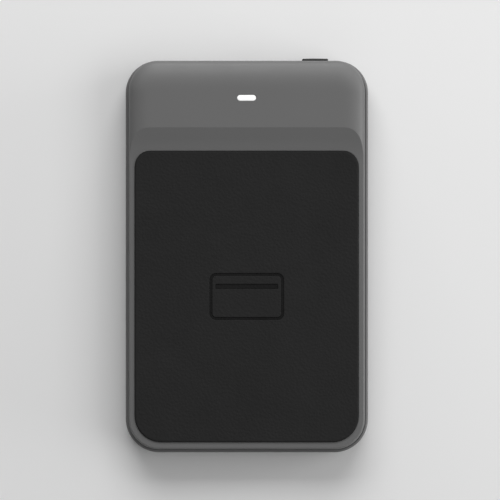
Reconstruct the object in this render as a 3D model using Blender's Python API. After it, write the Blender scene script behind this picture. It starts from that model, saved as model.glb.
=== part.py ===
# Contactless ticket validator: a flat card reader that lies on its back on four rubber feet.
# The tap pad faces +Z and the top edge with the power button faces +Y. The origin lies on the
# supporting surface, under the middle of the housing. All sizes are in metres.

import math

import bmesh
import bpy

MM = 0.001

# Housing, overall
BODY_WIDTH = 65.0 * MM
BODY_LENGTH = 105.0 * MM
TOP_CORNER_RADIUS = 8.5 * MM
BOTTOM_CORNER_RADIUS = 9.0 * MM
REAR_DEPTH = 7.0 * MM  # rear shell, from its back face to the parting line
HEAD_HEIGHT = 6.4 * MM  # front shell, from the parting line to the top of the head
DECK_DROP = 1.8 * MM  # from the head down to the deck round the pad
WALL = 1.8 * MM
DECK_WALL = 1.4 * MM  # under the pad and behind the ramp

# Edges of the two shells
EDGE_FALL = 4.2 * MM  # front shell, height of its rounded edge
EDGE_RUN = 6.5 * MM  # how far that edge reaches in from the sides and the bottom
TOP_EDGE_RUN = 8.2 * MM  # and how far from the top edge
EDGE_POWER = 3.0  # 2 makes the edge an ellipse, more makes it squarer
REAR_EDGE_RADIUS = 3.0 * MM
REVEAL = 0.85 * MM  # the rear shell stands out this far at the sides and the bottom
RIM_RADIUS = 0.28 * MM
RIM_WIDTH = 0.55 * MM  # what shows of the rear shell's rim, outside the seam
SEAM_DEPTH = 0.5 * MM
LIP_DROP = 0.8 * MM  # lip of the front shell, below the parting line
LIP_RISE = 1.2 * MM  # and above it, where it grows out of the wall
LIP_THICKNESS = 0.9 * MM

# Clearances
SEAT_GAP = 0.3 * MM  # between pieces that touch
SLIDE_GAP = 0.25 * MM  # round a piece that slides
FILM_GAP = 0.1 * MM  # on either side of a film or a printed conductor

# Tap pad, its pocket and the ramp above it
HEAD_LENGTH = 24.0 * MM  # from the top edge down to the pad
RAMP_RUN = 6.2 * MM
RAMP_FOOT_GAP = 0.15 * MM
RAMP_BEND_RUN = 3.0 * MM  # soft bend at the ramp's foot, to either side of it
PAD_SIDE_MARGIN = 2.4 * MM
PAD_BOTTOM_MARGIN = 2.5 * MM
PAD_TOP_RADIUS = 4.3 * MM
PAD_BOTTOM_RADIUS = 7.2 * MM
PAD_THICKNESS = 1.2 * MM
PAD_PROUD = 0.4 * MM
PAD_EDGE_RADIUS = 0.35 * MM
ADHESIVE_MARGIN = 2.0 * MM

# Card-shaped mark pressed into the pad
MARK_WIDTH = 20.0 * MM
MARK_HEIGHT = 12.6 * MM
MARK_RADIUS = 1.8 * MM
MARK_LINE = 0.8 * MM
MARK_DEPTH = 0.3 * MM
MARK_STRIPE_DROP = 3.6 * MM  # from the mark's upper edge to the middle of its stripe
MARK_STRIPE_HEIGHT = 1.4 * MM
MARK_STRIPE_INSET = 1.6 * MM  # from the mark's sides

# Lamp
LENS_LENGTH = 5.15 * MM
LENS_WIDTH = 1.64 * MM
LENS_DROP = 10.0 * MM  # from the top edge to the lamp's middle
LENS_FLANGE_REACH = 1.3 * MM
LENS_FLANGE_THICKNESS = 0.8 * MM
LENS_EDGE = 0.1 * MM
LED_LENGTH = 3.4 * MM
LED_WIDTH = 1.5 * MM
LED_HEIGHT = 0.8 * MM

# Power button
BUTTON_WIDTH = 7.0 * MM
BUTTON_HEIGHT = 2.4 * MM
BUTTON_CORNER = 0.9 * MM
BUTTON_EDGE = 0.25 * MM
BUTTON_PROUD = 0.7 * MM
BUTTON_SIDE_INSET = 14.2 * MM  # from the right side to the button's middle
BUTTON_DROP = 1.8 * MM  # from the board's underside to the button's middle
EAR_REACH = 1.2 * MM
EAR_THICKNESS = 0.8 * MM
PUSHER_LENGTH = 0.4 * MM

# Key switch behind the button
SWITCH_WIDTH = 4.6 * MM
SWITCH_DEPTH = 2.8 * MM
SWITCH_HEIGHT = 2.8 * MM
SWITCH_SLOT_DEPTH = 2.0 * MM
PLUNGER_WIDTH = 1.6 * MM
PLUNGER_HEIGHT = 0.9 * MM
PLUNGER_CORNER = 0.22 * MM
PLUNGER_LENGTH = 2.2 * MM
PLUNGER_PROUD = 0.9 * MM
DOME_RISE = 0.25 * MM
DOME_THICKNESS = 0.12 * MM

# Main board
BOARD_THICKNESS = 1.0 * MM
BOARD_LENGTH = 18.8 * MM
BOARD_DROP = 0.8 * MM  # from the parting line to the board's underside
BOARD_CORNER = 1.0 * MM
BOARD_END_GAP = 1.2 * MM
BOARD_SIDE_GAP = 0.7 * MM
BOARD_SCREW_INSET = 3.0 * MM  # from the board's side
BOARD_SCREW_RISE = 10.5 * MM  # from the board's lower edge

# What the main board carries
SHIELD_WIDTH = 15.0 * MM
SHIELD_LENGTH = 10.0 * MM
SHIELD_HEIGHT = 1.9 * MM
SHIELD_SHEET = 0.25 * MM
SHIELD_CORNER = 0.75 * MM
SHIELD_GAP_SHARE = 0.16418  # of the spare room between the board's screw heads, left of the shield
SHIELD_RISE = 6.4 * MM  # from the board's lower edge to the shield's middle
READER_CHIP_SIZE = 5.0 * MM
CONTROLLER_SIZE = 7.0 * MM
CONTROLLER_GAP_SHARE = 0.59701  # and between the shield and the controller
CONTROLLER_RISE = 9.5 * MM
CHIP_HEIGHT = 0.9 * MM
CHIP_EDGE = 0.12 * MM
CRYSTAL_LENGTH = 3.2 * MM
CRYSTAL_WIDTH = 2.5 * MM
CRYSTAL_HEIGHT = 0.8 * MM
BUZZER_RADIUS = 4.5 * MM
BUZZER_HEIGHT = 3.2 * MM
BUZZER_PORT_RADIUS = 1.0 * MM
BUZZER_PORT_DEPTH = 0.8 * MM
BUZZER_SIDE_INSET = 10.5 * MM
BUZZER_RISE = 8.0 * MM
SOUND_HOLE_RADIUS = 0.6 * MM
SOUND_HOLE_CIRCLE = 2.2 * MM
SOUND_HOLE_COUNT = 6

# Cable port in the top edge
PORT_WIDTH = 8.94 * MM
PORT_HEIGHT = 3.16 * MM
PORT_DEPTH = 7.35 * MM
PORT_SHEET = 0.3 * MM
PORT_HOLLOW = 6.0 * MM
PORT_RECESS = 0.9 * MM
TONGUE_WIDTH = 6.7 * MM
TONGUE_THICKNESS = 0.7 * MM
TONGUE_RECESS = 0.6 * MM
TONGUE_BASE_WIDTH = 7.2 * MM
TONGUE_BASE_HEIGHT = 1.7 * MM
TONGUE_BASE_DEPTH = 1.0 * MM
TONGUE_CORNER = 0.2 * MM

# Antenna under the pad
ANTENNA_THICKNESS = 0.8 * MM
ANTENNA_CORNER = 1.5 * MM
ANTENNA_SIDE_GAP = 1.0 * MM
ANTENNA_TOP_MARGIN = 2.5 * MM  # from the pad's upper edge
ANTENNA_BOSS_GAP = 1.2 * MM
COIL_TURNS = 4
COIL_PITCH = 1.4 * MM
COIL_LINE = 0.8 * MM
COIL_THICKNESS = 0.15 * MM
COIL_CORNER = 7.0 * MM
COIL_MARGIN = 4.5 * MM
FERRITE_THICKNESS = 0.3 * MM
FERRITE_MARGIN = 4.0 * MM
PEG_RADIUS = 0.8 * MM
PEG_HEAD_RADIUS = 1.5 * MM
PEG_HEAD_HEIGHT = 0.45 * MM
PEG_INSET = 2.2 * MM

# Ribbon between the antenna and the main board
FLEX_WIDTH = 5.0 * MM
FLEX_THICKNESS = 0.15 * MM
FLEX_OVERLAP = 2.4 * MM
FLEX_INSERTION = 1.6 * MM
FLEX_GAP_SHARE = 0.3  # of the spare room beside the shield, left of the connector
FLEX_STEPS = 10
CONNECTOR_WIDTH = 8.0 * MM
CONNECTOR_DEPTH = 3.2 * MM
CONNECTOR_HEIGHT = 1.2 * MM
CONNECTOR_EDGE_GAP = 0.5 * MM

# Battery and its lead
BATTERY_WIDTH = 38.0 * MM
BATTERY_LENGTH = 48.0 * MM
BATTERY_CORNER = 2.0 * MM
BATTERY_EDGE = 0.8 * MM
BATTERY_SWELL_GAP = 0.45 * MM
TERRACE_LENGTH = 3.5 * MM
TERRACE_HEIGHT = 1.2 * MM
TERRACE_INSET = 2.0 * MM
TERRACE_ROOT = 2.0 * MM  # how far the terrace starts inside the cell
GUARD_INSET = 4.0 * MM
GUARD_THICKNESS = 0.6 * MM
FOAM_THICKNESS = 0.4 * MM
FOAM_MARGIN = 2.0 * MM
RIB_THICKNESS = 1.0 * MM
RIB_HEIGHT = 1.6 * MM
RIB_GAP = 0.4 * MM
LEAD_SPACE = 10.0 * MM  # between the cell's terrace and the main board
LEAD_DIAMETER = 0.9 * MM
LEAD_PITCH = 1.6 * MM
LEAD_BOW = 1.2 * MM
LEAD_STEPS = 10
SOCKET_GAP = 0.5 * MM  # from the buzzer
SOCKET_WIDTH = 6.0 * MM
SOCKET_DEPTH = 4.6 * MM
SOCKET_HEIGHT = 3.2 * MM
SOCKET_WALL = 0.6 * MM
PLUG_OVERHANG = 1.4 * MM

# Screws
SCREW_SIDE_INSET = 6.5 * MM
SCREW_END_INSET = 8.0 * MM
SCREW_RADIUS = 1.0 * MM
SCREW_HEAD_RADIUS = 2.1 * MM
SCREW_HEAD_HEIGHT = 1.5 * MM
SCREW_HEAD_DEPTH = 2.4 * MM  # from the back face to the face that the head bears on
SCREW_SHANK = 7.1 * MM
SCREW_BOSS_RADIUS = 2.8 * MM
SCREW_POST_RADIUS = 3.1 * MM
SCREW_BOSS_DROP = 2.6 * MM  # front bosses, below the parting line
BOARD_SCREW_RADIUS = 0.8 * MM
BOARD_SCREW_HEAD_RADIUS = 1.8 * MM
BOARD_SCREW_HEAD_HEIGHT = 1.2 * MM
BOARD_SCREW_SHANK = 4.6 * MM
BOARD_BOSS_RADIUS = 2.0 * MM
BOSS_ROOT = 0.7 * MM  # how far bosses, pegs, posts and ribs reach into the wall they grow from
HEAD_CROWN = ((0.70, 0.0), (0.93, 0.2), (1.0, 0.5))  # shares of a screw head's radius and height
POINT_SHARE = 0.3  # a screw's tip, as a share of its shank's radius
RECESS_SPAN = 0.62  # cross recess, half its span as a share of the head's radius
RECESS_SLOT = 0.2  # and half its slot's width
RECESS_DEPTH = 0.5  # as a share of the head's height

# Feet and the bare label recess on the back
FOOT_RADIUS = 4.0 * MM
FOOT_THICKNESS = 1.0 * MM
FOOT_PROUD = 0.6 * MM
FOOT_EDGE = 0.2 * MM
FOOT_SIDE_INSET = 8.0 * MM
FOOT_END_INSET = 19.0 * MM
LABEL_WIDTH = 40.0 * MM
LABEL_LENGTH = 24.0 * MM
LABEL_CORNER = 2.0 * MM
LABEL_DEPTH = 0.3 * MM
LABEL_Y = -10.0 * MM

# Fineness of round shapes
CORNER_STEPS = 6
EDGE_STEPS = 6
FULL_EDGE_STEPS = 9
BEND_STEPS = 4
SMALL_STEPS = 3
ROUND_STEPS = 24
SMALL_ROUND_STEPS = 14
SMOOTH_ANGLE = math.radians(35)
CUT_OVER = 2.0 * MM  # how far a cutter runs past what it cuts

# Finishes: linear colour, roughness, metallic
FINISHES = {
    "case_plastic": ((0.136, 0.136, 0.138), 0.45, 0.0),
    "pad_plastic": ((0.021, 0.021, 0.021), 0.60, 0.0),
    "lens_plastic": ((0.90, 0.90, 0.90), 0.30, 0.0),
    "button_plastic": ((0.075, 0.075, 0.076), 0.45, 0.0),
    "foot_rubber": ((0.018, 0.018, 0.018), 0.80, 0.0),
    "adhesive_film": ((0.55, 0.53, 0.45), 0.40, 0.0),
    "green_laminate": ((0.008, 0.075, 0.030), 0.45, 0.0),
    "copper": ((0.72, 0.30, 0.16), 0.30, 1.0),
    "ferrite": ((0.030, 0.028, 0.027), 0.55, 0.0),
    "amber_film": ((0.50, 0.22, 0.02), 0.35, 0.0),
    "ivory_moulding": ((0.72, 0.66, 0.52), 0.45, 0.0),
    "black_moulding": ((0.015, 0.015, 0.016), 0.45, 0.0),
    "steel": ((0.55, 0.55, 0.56), 0.30, 1.0),
    "tin_plate": ((0.62, 0.62, 0.60), 0.38, 1.0),
    "pouch_foil": ((0.58, 0.59, 0.61), 0.42, 1.0),
    "foam": ((0.10, 0.10, 0.10), 0.90, 0.0),
    "red_jacket": ((0.55, 0.02, 0.02), 0.40, 0.0),
    "black_jacket": ((0.012, 0.012, 0.012), 0.40, 0.0),
}

# Heights
REAR_BACK = FOOT_PROUD
REAR_FLOOR = REAR_BACK + WALL
PARTING = REAR_BACK + REAR_DEPTH
HEAD_TOP = PARTING + HEAD_HEIGHT
HEAD_CEILING = HEAD_TOP - WALL
DECK = HEAD_TOP - DECK_DROP
PAD_TOP = DECK + PAD_PROUD
PAD_UNDERSIDE = PAD_TOP - PAD_THICKNESS
POCKET_FLOOR = PAD_UNDERSIDE - SEAT_GAP
DECK_CEILING = POCKET_FLOOR - DECK_WALL
COIL_BASE = DECK_CEILING - SEAT_GAP - COIL_THICKNESS
ANTENNA_BASE = COIL_BASE - FILM_GAP - ANTENNA_THICKNESS
FERRITE_BASE = ANTENNA_BASE - SEAT_GAP - FERRITE_THICKNESS
FOAM_BASE = REAR_FLOOR + SEAT_GAP
BATTERY_BASE = FOAM_BASE + FOAM_THICKNESS + SEAT_GAP
BATTERY_TOP = FERRITE_BASE - BATTERY_SWELL_GAP
BOARD_UNDERSIDE = PARTING - BOARD_DROP
BOARD_FACE = BOARD_UNDERSIDE + BOARD_THICKNESS
BUTTON_Z = BOARD_UNDERSIDE - BUTTON_DROP
PORT_Z = BOARD_UNDERSIDE - SEAT_GAP - PORT_HEIGHT / 2

# Places in plan
SIDE = BODY_WIDTH / 2
TOP = BODY_LENGTH / 2
PAD_RIGHT = SIDE - PAD_SIDE_MARGIN
PAD_UPPER = TOP - HEAD_LENGTH
PAD_LOWER = -TOP + PAD_BOTTOM_MARGIN
RAMP_FOOT = PAD_UPPER + RAMP_FOOT_GAP
RAMP_SLOPE = DECK_DROP / RAMP_RUN
LENS_Y = TOP - LENS_DROP
FRONT_INNER = REVEAL + WALL
LIP_OUTER = WALL + SEAT_GAP
LIP_INNER = LIP_OUTER + LIP_THICKNESS
SCREW_X = SIDE - SCREW_SIDE_INSET
SCREW_Y = TOP - SCREW_END_INSET
SCREW_PLACES = [(-SCREW_X, SCREW_Y), (SCREW_X, SCREW_Y), (-SCREW_X, -SCREW_Y), (SCREW_X, -SCREW_Y)]
BOARD_UPPER = TOP - LIP_INNER - BOARD_END_GAP
BOARD_LOWER = BOARD_UPPER - BOARD_LENGTH
BOARD_RIGHT = SCREW_X - SCREW_BOSS_RADIUS - BOARD_SIDE_GAP
BOARD_SCREW_X = BOARD_RIGHT - BOARD_SCREW_INSET
BOARD_SCREW_Y = BOARD_LOWER + BOARD_SCREW_RISE
BOARD_SCREW_PLACES = [(-BOARD_SCREW_X, BOARD_SCREW_Y), (BOARD_SCREW_X, BOARD_SCREW_Y)]
BUZZER_PLACE = (BUZZER_SIDE_INSET - BOARD_RIGHT, BOARD_LOWER + BUZZER_RISE)
SOCKET_X = BUZZER_PLACE[0] + BUZZER_RADIUS + SOCKET_GAP + SOCKET_WIDTH / 2
ROW_RIGHT = BOARD_SCREW_X - BOARD_SCREW_HEAD_RADIUS
ROW_SPARE = 2 * ROW_RIGHT - SHIELD_WIDTH - CONTROLLER_SIZE
SHIELD_X = -ROW_RIGHT + ROW_SPARE * SHIELD_GAP_SHARE + SHIELD_WIDTH / 2
SHIELD_RIGHT = SHIELD_X + SHIELD_WIDTH / 2
CONTROLLER_X = SHIELD_RIGHT + ROW_SPARE * CONTROLLER_GAP_SHARE + CONTROLLER_SIZE / 2
FLEX_SPARE = BOARD_RIGHT - SHIELD_RIGHT - CONNECTOR_WIDTH
FLEX_X = SHIELD_RIGHT + FLEX_SPARE * FLEX_GAP_SHARE + CONNECTOR_WIDTH / 2
FOOT_X = SIDE - FOOT_SIDE_INSET
FOOT_Y = TOP - FOOT_END_INSET
FOOT_PLACES = [(-FOOT_X, FOOT_Y), (FOOT_X, FOOT_Y), (-FOOT_X, -FOOT_Y), (FOOT_X, -FOOT_Y)]
ANTENNA_RIGHT = SIDE - LIP_INNER - ANTENNA_SIDE_GAP
ANTENNA_UPPER = PAD_UPPER - ANTENNA_TOP_MARGIN
ANTENNA_LOWER = -SCREW_Y + SCREW_BOSS_RADIUS + ANTENNA_BOSS_GAP
PEG_X = ANTENNA_RIGHT - PEG_INSET
PEG_PLACES = [
    (-PEG_X, ANTENNA_UPPER - PEG_INSET),
    (PEG_X, ANTENNA_UPPER - PEG_INSET),
    (-PEG_X, ANTENNA_LOWER + PEG_INSET),
    (PEG_X, ANTENNA_LOWER + PEG_INSET),
]
TERRACE_UPPER = BOARD_LOWER - LEAD_SPACE
BATTERY_UPPER = TERRACE_UPPER - TERRACE_LENGTH
BATTERY_LOWER = BATTERY_UPPER - BATTERY_LENGTH
GUARD_BASE = BATTERY_BASE + TERRACE_HEIGHT + SEAT_GAP
SOCKET_MOUTH = BOARD_LOWER + SEAT_GAP
SOCKET_BASE = BOARD_UNDERSIDE - SEAT_GAP - SOCKET_HEIGHT
CONNECTOR_MOUTH = BOARD_LOWER + CONNECTOR_EDGE_GAP

# Chain from the button back to its switch, along the top edge's inward direction
BUTTON_X = SIDE - BUTTON_SIDE_INSET
EAR_FRONT = WALL + SEAT_GAP
EAR_BACK = EAR_FRONT + EAR_THICKNESS
PUSHER_TIP = EAR_BACK + PUSHER_LENGTH
PLUNGER_TIP = PUSHER_TIP + SEAT_GAP
SWITCH_FRONT = PLUNGER_TIP + PLUNGER_PROUD


# Outlines

def corner(centre, run_x, run_y, quarter, steps):
    points = []
    for step in range(steps + 1):
        angle = math.pi / 2 * (quarter + step / steps)
        points.append((centre[0] + run_x * math.cos(angle), centre[1] + run_y * math.sin(angle)))
    return points


def plate_outline(left, right, lower, upper, lower_radius, upper_radius, steps=CORNER_STEPS):
    inset = upper_radius
    points = corner((right - inset, upper - inset), inset, inset, 0, steps)
    points += corner((left + inset, upper - inset), inset, inset, 1, steps)
    inset = lower_radius
    points += corner((left + inset, lower + inset), inset, inset, 2, steps)
    points += corner((right - inset, lower + inset), inset, inset, 3, steps)
    return points


def rounded_rect(width, height, radius, steps=SMALL_STEPS):
    return plate_outline(-width / 2, width / 2, -height / 2, height / 2, radius, radius, steps)


def pill(length, width):
    points = []
    for side in (1, -1):
        middle = side * (length - width) / 2
        for step in range(2 * CORNER_STEPS + 1):
            angle = math.pi * (step / (2 * CORNER_STEPS) - side / 2)
            points.append((middle + width / 2 * math.cos(angle), width / 2 * math.sin(angle)))
    return points


def circle(radius, steps=ROUND_STEPS):
    points = []
    for step in range(steps):
        angle = 2 * math.pi * step / steps
        points.append((radius * math.cos(angle), radius * math.sin(angle)))
    return points


def housing_outline(side_inset, top_inset):
    """The rear shell's outline, moved in at the sides and the bottom and, apart, at the top."""
    upper_x = SIDE - TOP_CORNER_RADIUS
    upper_y = TOP - TOP_CORNER_RADIUS
    lower_x = SIDE - BOTTOM_CORNER_RADIUS
    lower_y = BOTTOM_CORNER_RADIUS - TOP
    side_run = TOP_CORNER_RADIUS - side_inset
    top_run = TOP_CORNER_RADIUS - top_inset
    lower_run = BOTTOM_CORNER_RADIUS - side_inset
    points = corner((upper_x, upper_y), side_run, top_run, 0, CORNER_STEPS)
    points += corner((-upper_x, upper_y), side_run, top_run, 1, CORNER_STEPS)
    points += corner((-lower_x, lower_y), lower_run, lower_run, 2, CORNER_STEPS)
    points += corner((lower_x, lower_y), lower_run, lower_run, 3, CORNER_STEPS)
    return points


def pad_outline(growth):
    return plate_outline(
        -PAD_RIGHT - growth, PAD_RIGHT + growth, PAD_LOWER - growth, PAD_UPPER + growth,
        PAD_BOTTOM_RADIUS + growth, PAD_TOP_RADIUS + growth,
    )


def quarter_round(steps):
    """Rise and inset, both from 0 to 1, along a quarter circle that leaves a wall upwards."""
    for step in range(steps + 1):
        angle = math.pi / 2 * step / steps
        yield math.sin(angle), 1 - math.cos(angle)


def full_round(steps):
    """The same along a squarer curve, which runs out softly into the wall and the top."""
    for rise, inset in quarter_round(steps):
        yield rise ** (2 / EDGE_POWER), 1 - (1 - inset) ** (2 / EDGE_POWER)


# Solids

def finish_material(name):
    material = bpy.data.materials.get(name)
    if material is None:
        colour, roughness, metallic = FINISHES[name]
        material = bpy.data.materials.new(name)
        material.use_nodes = True
        shader = material.node_tree.nodes["Principled BSDF"]
        shader.inputs["Base Color"].default_value = (*colour, 1.0)
        shader.inputs["Roughness"].default_value = roughness
        shader.inputs["Metallic"].default_value = metallic
    return material


def mesh_object(name, bm, place=(0, 0, 0)):
    bmesh.ops.recalc_face_normals(bm, faces=bm.faces[:])
    mesh = bpy.data.meshes.new(name)
    bm.to_mesh(mesh)
    bm.free()
    piece = bpy.data.objects.new(name, mesh)
    piece.location = place
    bpy.context.scene.collection.objects.link(piece)
    return piece


def skin(bm, sections, axis, offset=(0, 0)):
    """Adds one closed body through outlines of equal point counts, given as (outline, height)."""
    loops = []
    for outline, height in sections:
        loop = []
        for across, along in outline:
            across += offset[0]
            along += offset[1]
            spot = {
                "X": (height, across, along),
                "Y": (across, height, along),
                "Z": (across, along, height),
            }[axis]
            loop.append(bm.verts.new(spot))
        loops.append(loop)
    for lower, upper in zip(loops, loops[1:]):
        for index, vert in enumerate(lower):
            after = (index + 1) % len(lower)
            bm.faces.new((vert, lower[after], upper[after], upper[index]))
    bm.faces.new(loops[0])
    bm.faces.new(loops[-1])


def loft(name, sections, axis="Z", place=(0, 0, 0)):
    bm = bmesh.new()
    skin(bm, sections, axis)
    return mesh_object(name, bm, place)


def turned(name, profile, spots=((0, 0),), steps=ROUND_STEPS, place=(0, 0, 0)):
    """One turned body at each spot, from a profile of (radius, height)."""
    bm = bmesh.new()
    for spot in spots:
        skin(bm, [(circle(radius, steps), height) for radius, height in profile], "Z", spot)
    return mesh_object(name, bm, place)


def box(name, size, place, edge=0.0):
    """A block that stands on the middle of its lower face."""
    bm = bmesh.new()
    bmesh.ops.create_cube(bm, size=1.0)
    bmesh.ops.scale(bm, vec=size, verts=bm.verts[:])
    bmesh.ops.translate(bm, vec=(0, 0, size[2] / 2), verts=bm.verts[:])
    if edge:
        bmesh.ops.bevel(bm, geom=bm.edges[:], offset=edge, segments=1, affect="EDGES")
    return mesh_object(name, bm, place)


def ring(name, outer, inner, low, high):
    """A closed wall between two outlines of equal point counts."""
    bm = bmesh.new()
    loops = []
    for outline, height in ((inner, low), (outer, low), (outer, high), (inner, high)):
        loops.append([bm.verts.new((across, along, height)) for across, along in outline])
    for loop, following in zip(loops, loops[1:] + loops[:1]):
        for index, vert in enumerate(loop):
            after = (index + 1) % len(loop)
            bm.faces.new((vert, loop[after], following[after], following[index]))
    return mesh_object(name, bm)


def combine(piece, tool, operation):
    modifier = piece.modifiers.new(tool.name, "BOOLEAN")
    modifier.operation = operation
    modifier.solver = "EXACT"
    modifier.object = tool
    tool.hide_render = True
    tool.display_type = "WIRE"


def cut(piece, tool):
    combine(piece, tool, "DIFFERENCE")


def add(piece, tool):
    combine(piece, tool, "UNION")


def finish(piece, material, smooth=False):
    piece.data.materials.clear()
    piece.data.materials.append(finish_material(material))
    if smooth:
        piece.data.shade_smooth()
        piece.data.set_sharp_from_angle(angle=SMOOTH_ANGLE)
    return piece


# Front shell

def front_sections():
    """Lip, step, wall and rounded edge, from below."""
    lip = housing_outline(LIP_OUTER, LIP_OUTER)
    wall_base = PARTING + SEAT_GAP
    sections = [(lip, PARTING - LIP_DROP), (lip, wall_base), (housing_outline(REVEAL, 0.0), wall_base)]
    for rise, inset in full_round(FULL_EDGE_STEPS):
        outline = housing_outline(REVEAL + EDGE_RUN * inset, TOP_EDGE_RUN * inset)
        sections.append((outline, HEAD_TOP - EDGE_FALL + EDGE_FALL * rise))
    return sections


def front_cavity():
    side_run = EDGE_FALL - WALL
    top_run = TOP_EDGE_RUN - FRONT_INNER
    lip = housing_outline(LIP_INNER, LIP_INNER)
    lip_top = PARTING + LIP_RISE
    wall = housing_outline(FRONT_INNER, FRONT_INNER)
    sections = [(lip, PARTING - LIP_DROP - CUT_OVER), (lip, lip_top), (wall, lip_top)]
    for rise, inset in quarter_round(EDGE_STEPS):
        outline = housing_outline(FRONT_INNER + side_run * inset, FRONT_INNER + top_run * inset)
        sections.append((outline, HEAD_CEILING - side_run + side_run * rise))
    cavity = loft("front_cavity", sections)
    ramp_wall = DECK_WALL * math.hypot(1, RAMP_SLOPE)
    step = PAD_UPPER + SEAT_GAP + DECK_WALL
    step_top = DECK + RAMP_SLOPE * (step - RAMP_FOOT) - ramp_wall
    ramp_end = RAMP_FOOT + (HEAD_TOP + ramp_wall - DECK) / RAMP_SLOPE
    kept = [
        (-TOP, DECK_CEILING),
        (step, DECK_CEILING),
        (step, step_top),
        (ramp_end, HEAD_TOP),
        (-TOP, HEAD_TOP),
    ]
    cut(cavity, loft("deck_material", [(kept, -BODY_WIDTH), (kept, BODY_WIDTH)], "X"))
    return cavity


def deck_cutter():
    over = DECK + DECK_DROP + CUT_OVER
    profile = [(-TOP - CUT_OVER, over), (-TOP - CUT_OVER, DECK)]
    for step in range(BEND_STEPS + 1):
        share = step / BEND_STEPS
        y = RAMP_FOOT + RAMP_BEND_RUN * (share ** 2 - (1 - share) ** 2)
        profile.append((y, DECK + RAMP_SLOPE * RAMP_BEND_RUN * share ** 2))
    profile.append((RAMP_FOOT + (over - DECK) / RAMP_SLOPE, over))
    return loft("deck_cutter", [(profile, -BODY_WIDTH), (profile, BODY_WIDTH)], "X")


def make_front_shell():
    shell = loft("front_shell", front_sections())
    cut(shell, deck_cutter())
    pocket = pad_outline(SEAT_GAP)
    cut(shell, loft("pad_pocket", [(pocket, POCKET_FLOOR), (pocket, HEAD_TOP + CUT_OVER)]))
    cut(shell, front_cavity())
    boss_end = PARTING - SCREW_BOSS_DROP
    for name, spots, ceiling in (
        ("head_bosses", SCREW_PLACES[:2], HEAD_CEILING),
        ("deck_bosses", SCREW_PLACES[2:], DECK_CEILING),
    ):
        profile = [(SCREW_BOSS_RADIUS, boss_end), (SCREW_BOSS_RADIUS, ceiling + BOSS_ROOT)]
        add(shell, turned(name, profile, spots))
    board_seat = BOARD_FACE + SEAT_GAP
    profile = [(BOARD_BOSS_RADIUS, board_seat), (BOARD_BOSS_RADIUS, HEAD_CEILING + BOSS_ROOT)]
    add(shell, turned("board_bosses", profile, BOARD_SCREW_PLACES))
    peg_head_top = ANTENNA_BASE - SEAT_GAP
    profile = [
        (PEG_HEAD_RADIUS, peg_head_top - PEG_HEAD_HEIGHT),
        (PEG_HEAD_RADIUS, peg_head_top),
        (PEG_RADIUS, peg_head_top),
        (PEG_RADIUS, DECK_CEILING + BOSS_ROOT),
    ]
    add(shell, turned("antenna_pegs", profile, PEG_PLACES, SMALL_ROUND_STEPS))
    bore = SCREW_RADIUS + SEAT_GAP
    profile = [(bore, boss_end - CUT_OVER), (bore, screw_tip() + SEAT_GAP)]
    cut(shell, turned("screw_bores", profile, SCREW_PLACES, SMALL_ROUND_STEPS))
    bore = BOARD_SCREW_RADIUS + SEAT_GAP
    profile = [(bore, board_seat - CUT_OVER), (bore, board_screw_tip() + SEAT_GAP)]
    cut(shell, turned("board_screw_bores", profile, BOARD_SCREW_PLACES, SMALL_ROUND_STEPS))
    slot = pill(LENS_LENGTH + 2 * SLIDE_GAP, LENS_WIDTH + 2 * SLIDE_GAP)
    sections = [(slot, HEAD_CEILING - CUT_OVER), (slot, HEAD_TOP + CUT_OVER)]
    cut(shell, loft("lens_slot", sections, "Z", (0, LENS_Y, 0)))
    finish(shell, "case_plastic", smooth=True)


# Rear shell

def rear_sections():
    sections = []
    for rise, inset in quarter_round(EDGE_STEPS):
        inward = REAR_EDGE_RADIUS * (1 - rise)
        sections.append((housing_outline(inward, inward), REAR_BACK + REAR_EDGE_RADIUS * inset))
    for rise, inset in quarter_round(SMALL_STEPS):
        inward = RIM_RADIUS * inset
        sections.append((housing_outline(inward, inward), PARTING - RIM_RADIUS * (1 - rise)))
    sections.append((housing_outline(RIM_WIDTH, RIM_WIDTH), PARTING))
    sections.append((housing_outline(REVEAL, REVEAL), PARTING - SEAM_DEPTH))
    return sections


def rear_cavity():
    radius = REAR_EDGE_RADIUS - WALL
    sections = []
    for rise, inset in quarter_round(SMALL_STEPS):
        inward = WALL + radius * (1 - rise)
        sections.append((housing_outline(inward, inward), REAR_FLOOR + radius * inset))
    sections.append((housing_outline(WALL, WALL), PARTING + CUT_OVER))
    return loft("rear_cavity", sections)


def battery_ribs():
    outlines = []
    for growth in (RIB_GAP + RIB_THICKNESS, RIB_GAP):
        outlines.append(plate_outline(
            -BATTERY_WIDTH / 2 - growth, BATTERY_WIDTH / 2 + growth,
            BATTERY_LOWER - growth, TERRACE_UPPER + growth,
            BATTERY_CORNER + growth, BATTERY_CORNER + growth, SMALL_STEPS,
        ))
    return ring("battery_ribs", *outlines, REAR_FLOOR - BOSS_ROOT, REAR_FLOOR + RIB_HEIGHT)


def sound_hole_spots():
    spots = [BUZZER_PLACE]
    for step in range(SOUND_HOLE_COUNT):
        angle = 2 * math.pi * step / SOUND_HOLE_COUNT
        spots.append((
            BUZZER_PLACE[0] + SOUND_HOLE_CIRCLE * math.cos(angle),
            BUZZER_PLACE[1] + SOUND_HOLE_CIRCLE * math.sin(angle),
        ))
    return spots


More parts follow.
